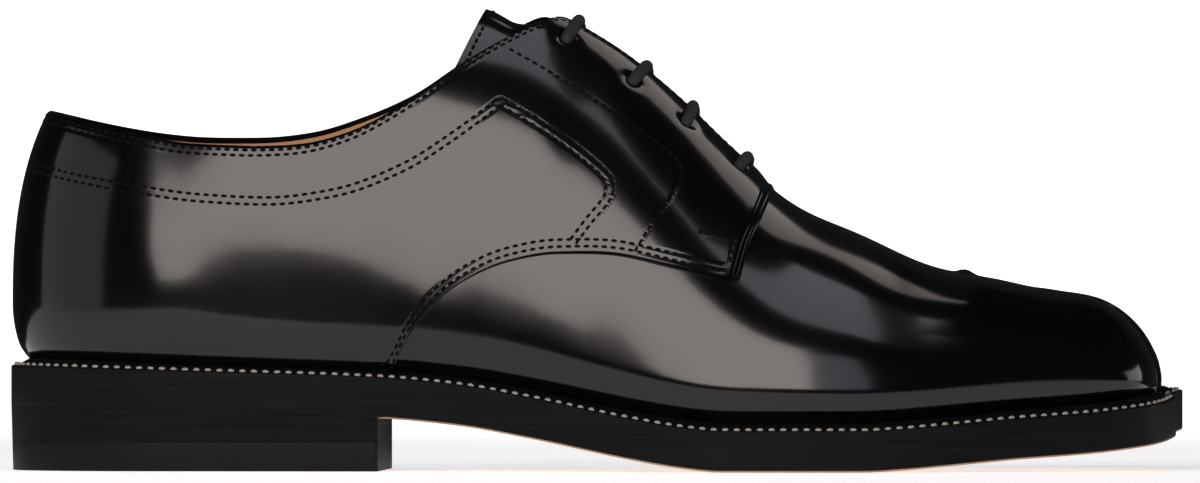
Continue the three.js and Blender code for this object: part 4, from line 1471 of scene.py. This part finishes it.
for side, piece in quarters.items():
    points = np.concatenate([on_face(line, QUARTER_FACE)[0] for line in seams[side]])
    tree = KDTree(len(points))
    for k, point in enumerate(points):
        tree.insert(point, k)
    tree.balance()
    mark(piece, [min(tree.find(place)[2], SEAM_FAR) for place in places_of(piece)])
for piece in (vamp, tongue):
    mark(piece, np.full(len(piece.data.vertices), SEAM_FAR))
dress(polished_calf(), vamp, tongue, *quarters.values())

# %% Sole edge
def dressed_edge():
    """Stacked leather edges, trimmed, inked and waxed."""
    # The eye gets charcoal rather than black, a satin face, and the fine level lines of fibres.
    material, tree, shader, place = new_material(
        "sole_leather_edge_dressed", Roughness=0.5, Specular_IOR_Level=0.07
    )
    stretch = node(tree, "Mapping", {"Scale": (0.02, 0.02, 1)}, Vector=place)
    lines = noise(tree, stretch.outputs["Vector"], 0.7, 4, 0.7)
    ink = tones(tree, lines, "#090a0b", "#141517", 0.35, 0.65)
    tree.links.new(shader.inputs["Base Color"], ink)
    tree.links.new(shader.inputs["Normal"], bump(tree, lines, 0.3, 0.08))
    return material


# The insole stays the solid that it is, and takes the same black.
dress(dressed_edge(), outsole, welt, flat_lift, wedge, bpy.data.objects["insole"])


# %% Plain materials
SOLE_DYED_TO = -0.45  # the dye reaches round the sole's lower corner to this slope


def plain(name, colour, roughness, specular=0.5, grain=0.8, deep=0.05, strength=0.3):
    """One colour with a fine grain: its size and depth are millimetres."""
    material, tree, shader, place = new_material(
        name, Base_Color=linear(colour), Roughness=roughness, Specular_IOR_Level=specular
    )
    relief = bump(tree, noise(tree, place, grain, 3), strength, deep)
    tree.links.new(shader.inputs["Normal"], relief)
    return material


# %% Lining, tread, rubber, cord and thread
# Lining calf tanned with bark, undyed: warm tan and dull, so it sets off the black.
dress(plain("lining_calf_vegetable_tanned", "#b98a5e", 0.55), sock, *linings)
# The sole's tread face is bare leather, buffed and left undyed: a dry brown without a shine.
outsole.data.materials.append(plain("sole_leather_natural", "#9c7a58", 0.6))
bare_from = (HEEL_LENGTH + to_frame[0]) * MM
faces = outsole.data.polygons
bare = [face.normal.z < SOLE_DYED_TO and face.center.x > bare_from for face in faces]
faces.foreach_set("material_index", bare)
# Moulded rubber: matt and even, so the heel's foot looks flatter than the leather over it.
dress(plain("heel_rubber_moulded", "#0c0d0f", 0.55, 0.15), top_piece)
# Round cotton cord, braided and waxed: dark brown-grey, rough enough to stay dull.
cord = plain("lace_cord_waxed", "#1a1718", 0.75, grain=0.35, deep=0.12, strength=0.8)
dress(cord, *laces)
# Bonded polyester thread: it shows only as a dull bead beside the leather's shine.
dress(plain("thread_polyester_black", "#030303", 0.9, 0.15), *stitches)
# Linen thread pulled through wax, undyed: pale grey dots, the brightest thing on the sole.
dress(plain("thread_linen_waxed", "#98938d", 0.6), welt_stitches)

# %% [markdown]
# A product shot of black leather is a picture of its surroundings, so each light is placed
# where the photo's highlights say it hung. A warm box stands close in front, a little left of
# the camera, with a narrow cool strip beside it. A wide dim one lights the heel, one overhead
# draws the vamp's upper line, one hangs behind the toe, and a low card answers on the right. A
# black flag over the toe keeps it dark, as in the photo. The rest of the room is dark.
#
# The paper sweep's brightness is painted light: it glows by emission in place of its own lamps,
# dimmer in front and brighter far back. Its front part shows in the leather. Its rear part stays
# out of reflections, as a dark flag would keep it.
# Its wall hangs far back, so that a camera behind the shoe still has room in front of it.

# %% Floor and backdrop
STAGE_WIDE, STAGE_FRONT, STAGE_SPLIT, STAGE_BACK = 8, -0.95, 0.1, 12
WALL_HIGH, WALL_BEND = 3, 0.8


def cloth(name, corners):
    """A flat sheet with its corners at places in metres."""
    deselect()
    bpy.ops.mesh.primitive_plane_add(size=1)
    sheet = made(name)
    sheet.data.vertices.foreach_set("co", np.array(corners, float).ravel())
    return sheet


def floor_corners(front, back):
    return [(side * STAGE_WIDE, y, 0) for y in (front, back) for side in (-1, 1)]


def raise_wall():
    """Extrudes the selected rear edge upwards."""
    bpy.ops.mesh.select_mode(type="EDGE")
    bpy.ops.mesh.extrude_region_move(TRANSFORM_OT_translate={"value": (0, 0, WALL_HIGH)})


floor = cloth("paper_floor", floor_corners(STAGE_FRONT, STAGE_SPLIT))
backdrop = cloth("paper_backdrop", floor_corners(STAGE_SPLIT, STAGE_BACK))
for vertex in backdrop.data.vertices:
    vertex.select = vertex.co.y > STAGE_BACK / 2
for edge in backdrop.data.edges:
    edge.select = all(backdrop.data.vertices[v].select for v in edge.vertices)
backdrop.data.polygons[0].select = False
in_edit_mode(raise_wall, None)
bend = backdrop.modifiers.new("sweep", "BEVEL")
bend.width, bend.segments, bend.limit_method = WALL_BEND, 24, "ANGLE"
bpy.ops.object.modifier_apply(modifier=bend.name)
bpy.ops.object.shade_smooth()
backdrop.visible_glossy = False
paper, tree, shader, place = new_material(
    "backdrop_paper_white", Base_Color=linear("#f4f4f4"), Roughness=0.9, Specular_IOR_Level=0.2,
    Emission_Color=(1, 1, 1, 1),
)
depth = node(tree, "SeparateXYZ", Vector=place).outputs["Y"]
# Painted light: the paper's emission stands in for lamp light on it, dimmer in front of the shoe
# and brighter far back.
painted_paper_light = node(tree, "Math", {"operation": "ADD"})
tree.links.new(painted_paper_light.inputs[0], ranged(tree, depth, -0.35, 0, 0.4, 0.62))
tree.links.new(painted_paper_light.inputs[1], ranged(tree, depth, 0.3, 1.5, 0, 0.4))
tree.links.new(shader.inputs["Emission Strength"], painted_paper_light.outputs["Value"])
dress(paper, floor, backdrop)

# %% Lights
world = bpy.data.worlds.new("studio")
bpy.context.scene.world = world
world.use_nodes = True
room = world.node_tree.nodes["Background"].inputs
room["Color"].default_value, room["Strength"].default_value = linear("#8d949c"), 0.06
SHOE_MIDDLE = Vector((0, 0, 0.05))


def soft_box(name, place, wide, high, radiance, colour, aim=SHOE_MIDDLE):
    """A soft box that faces the shoe, or another point."""
    deselect()
    bpy.ops.object.light_add(type="AREA", location=place)
    lamp = made(name)
    lamp.data.shape, lamp.data.size, lamp.data.size_y = "RECTANGLE", wide, high
    lamp.data.energy, lamp.data.color = radiance * np.pi * wide * high, linear(colour)[:3]
    lamp.rotation_euler = (Vector(aim) - Vector(place)).to_track_quat("-Z", "Y").to_euler()


def around(azimuth, elevation):
    """A place two metres round the shoe: azimuth 0 is the camera's side, 90 the toe's."""
    turn, rise = np.radians(azimuth), np.radians(elevation)
    way = np.array([np.sin(turn) * np.cos(rise), -np.cos(turn) * np.cos(rise), np.sin(rise)])
    return np.array(SHOE_MIDDLE) + way * 2


soft_box("front_box", (-0.095, -0.8, 0.487), 0.39, 0.73, 6.0, "#fff3ee", aim=(-0.095, 0, 0.487))
soft_box("front_spill", (0.17, -0.8, 0.45), 0.14, 0.65, 1.4, "#eef2ff", aim=(0.17, 0, 0.45))
soft_box("heel_box", around(-66, 13), 2.1, 1.26, 0.7, "#fff8f4")
soft_box("overhead_box", (0.27, -0.4, 1.85), 0.66, 1.2, 1.9, "#f4f5ff", aim=(0.27, -0.4, 0))
soft_box("rear_box", (1.08, 1.35, 1.85), 0.95, 1.1, 1.2, "#fff4ee")
soft_box("toe_card", around(105, 8), 1.2, 0.7, 1.8, "#fff8f4")
FLAG_X, FLAG_Y, FLAG_HIGH = (264, 420), (-60, 150), 150
flag_corners = np.array([(x, y, FLAG_HIGH) for y in FLAG_Y for x in FLAG_X])
flag = cloth("toe_flag", (flag_corners + to_frame) * MM)
flag.visible_camera = False
dress(plain("flag_cloth_black", "#020202", 1.0), flag)
bpy.context.scene.view_settings.view_transform = "Standard"
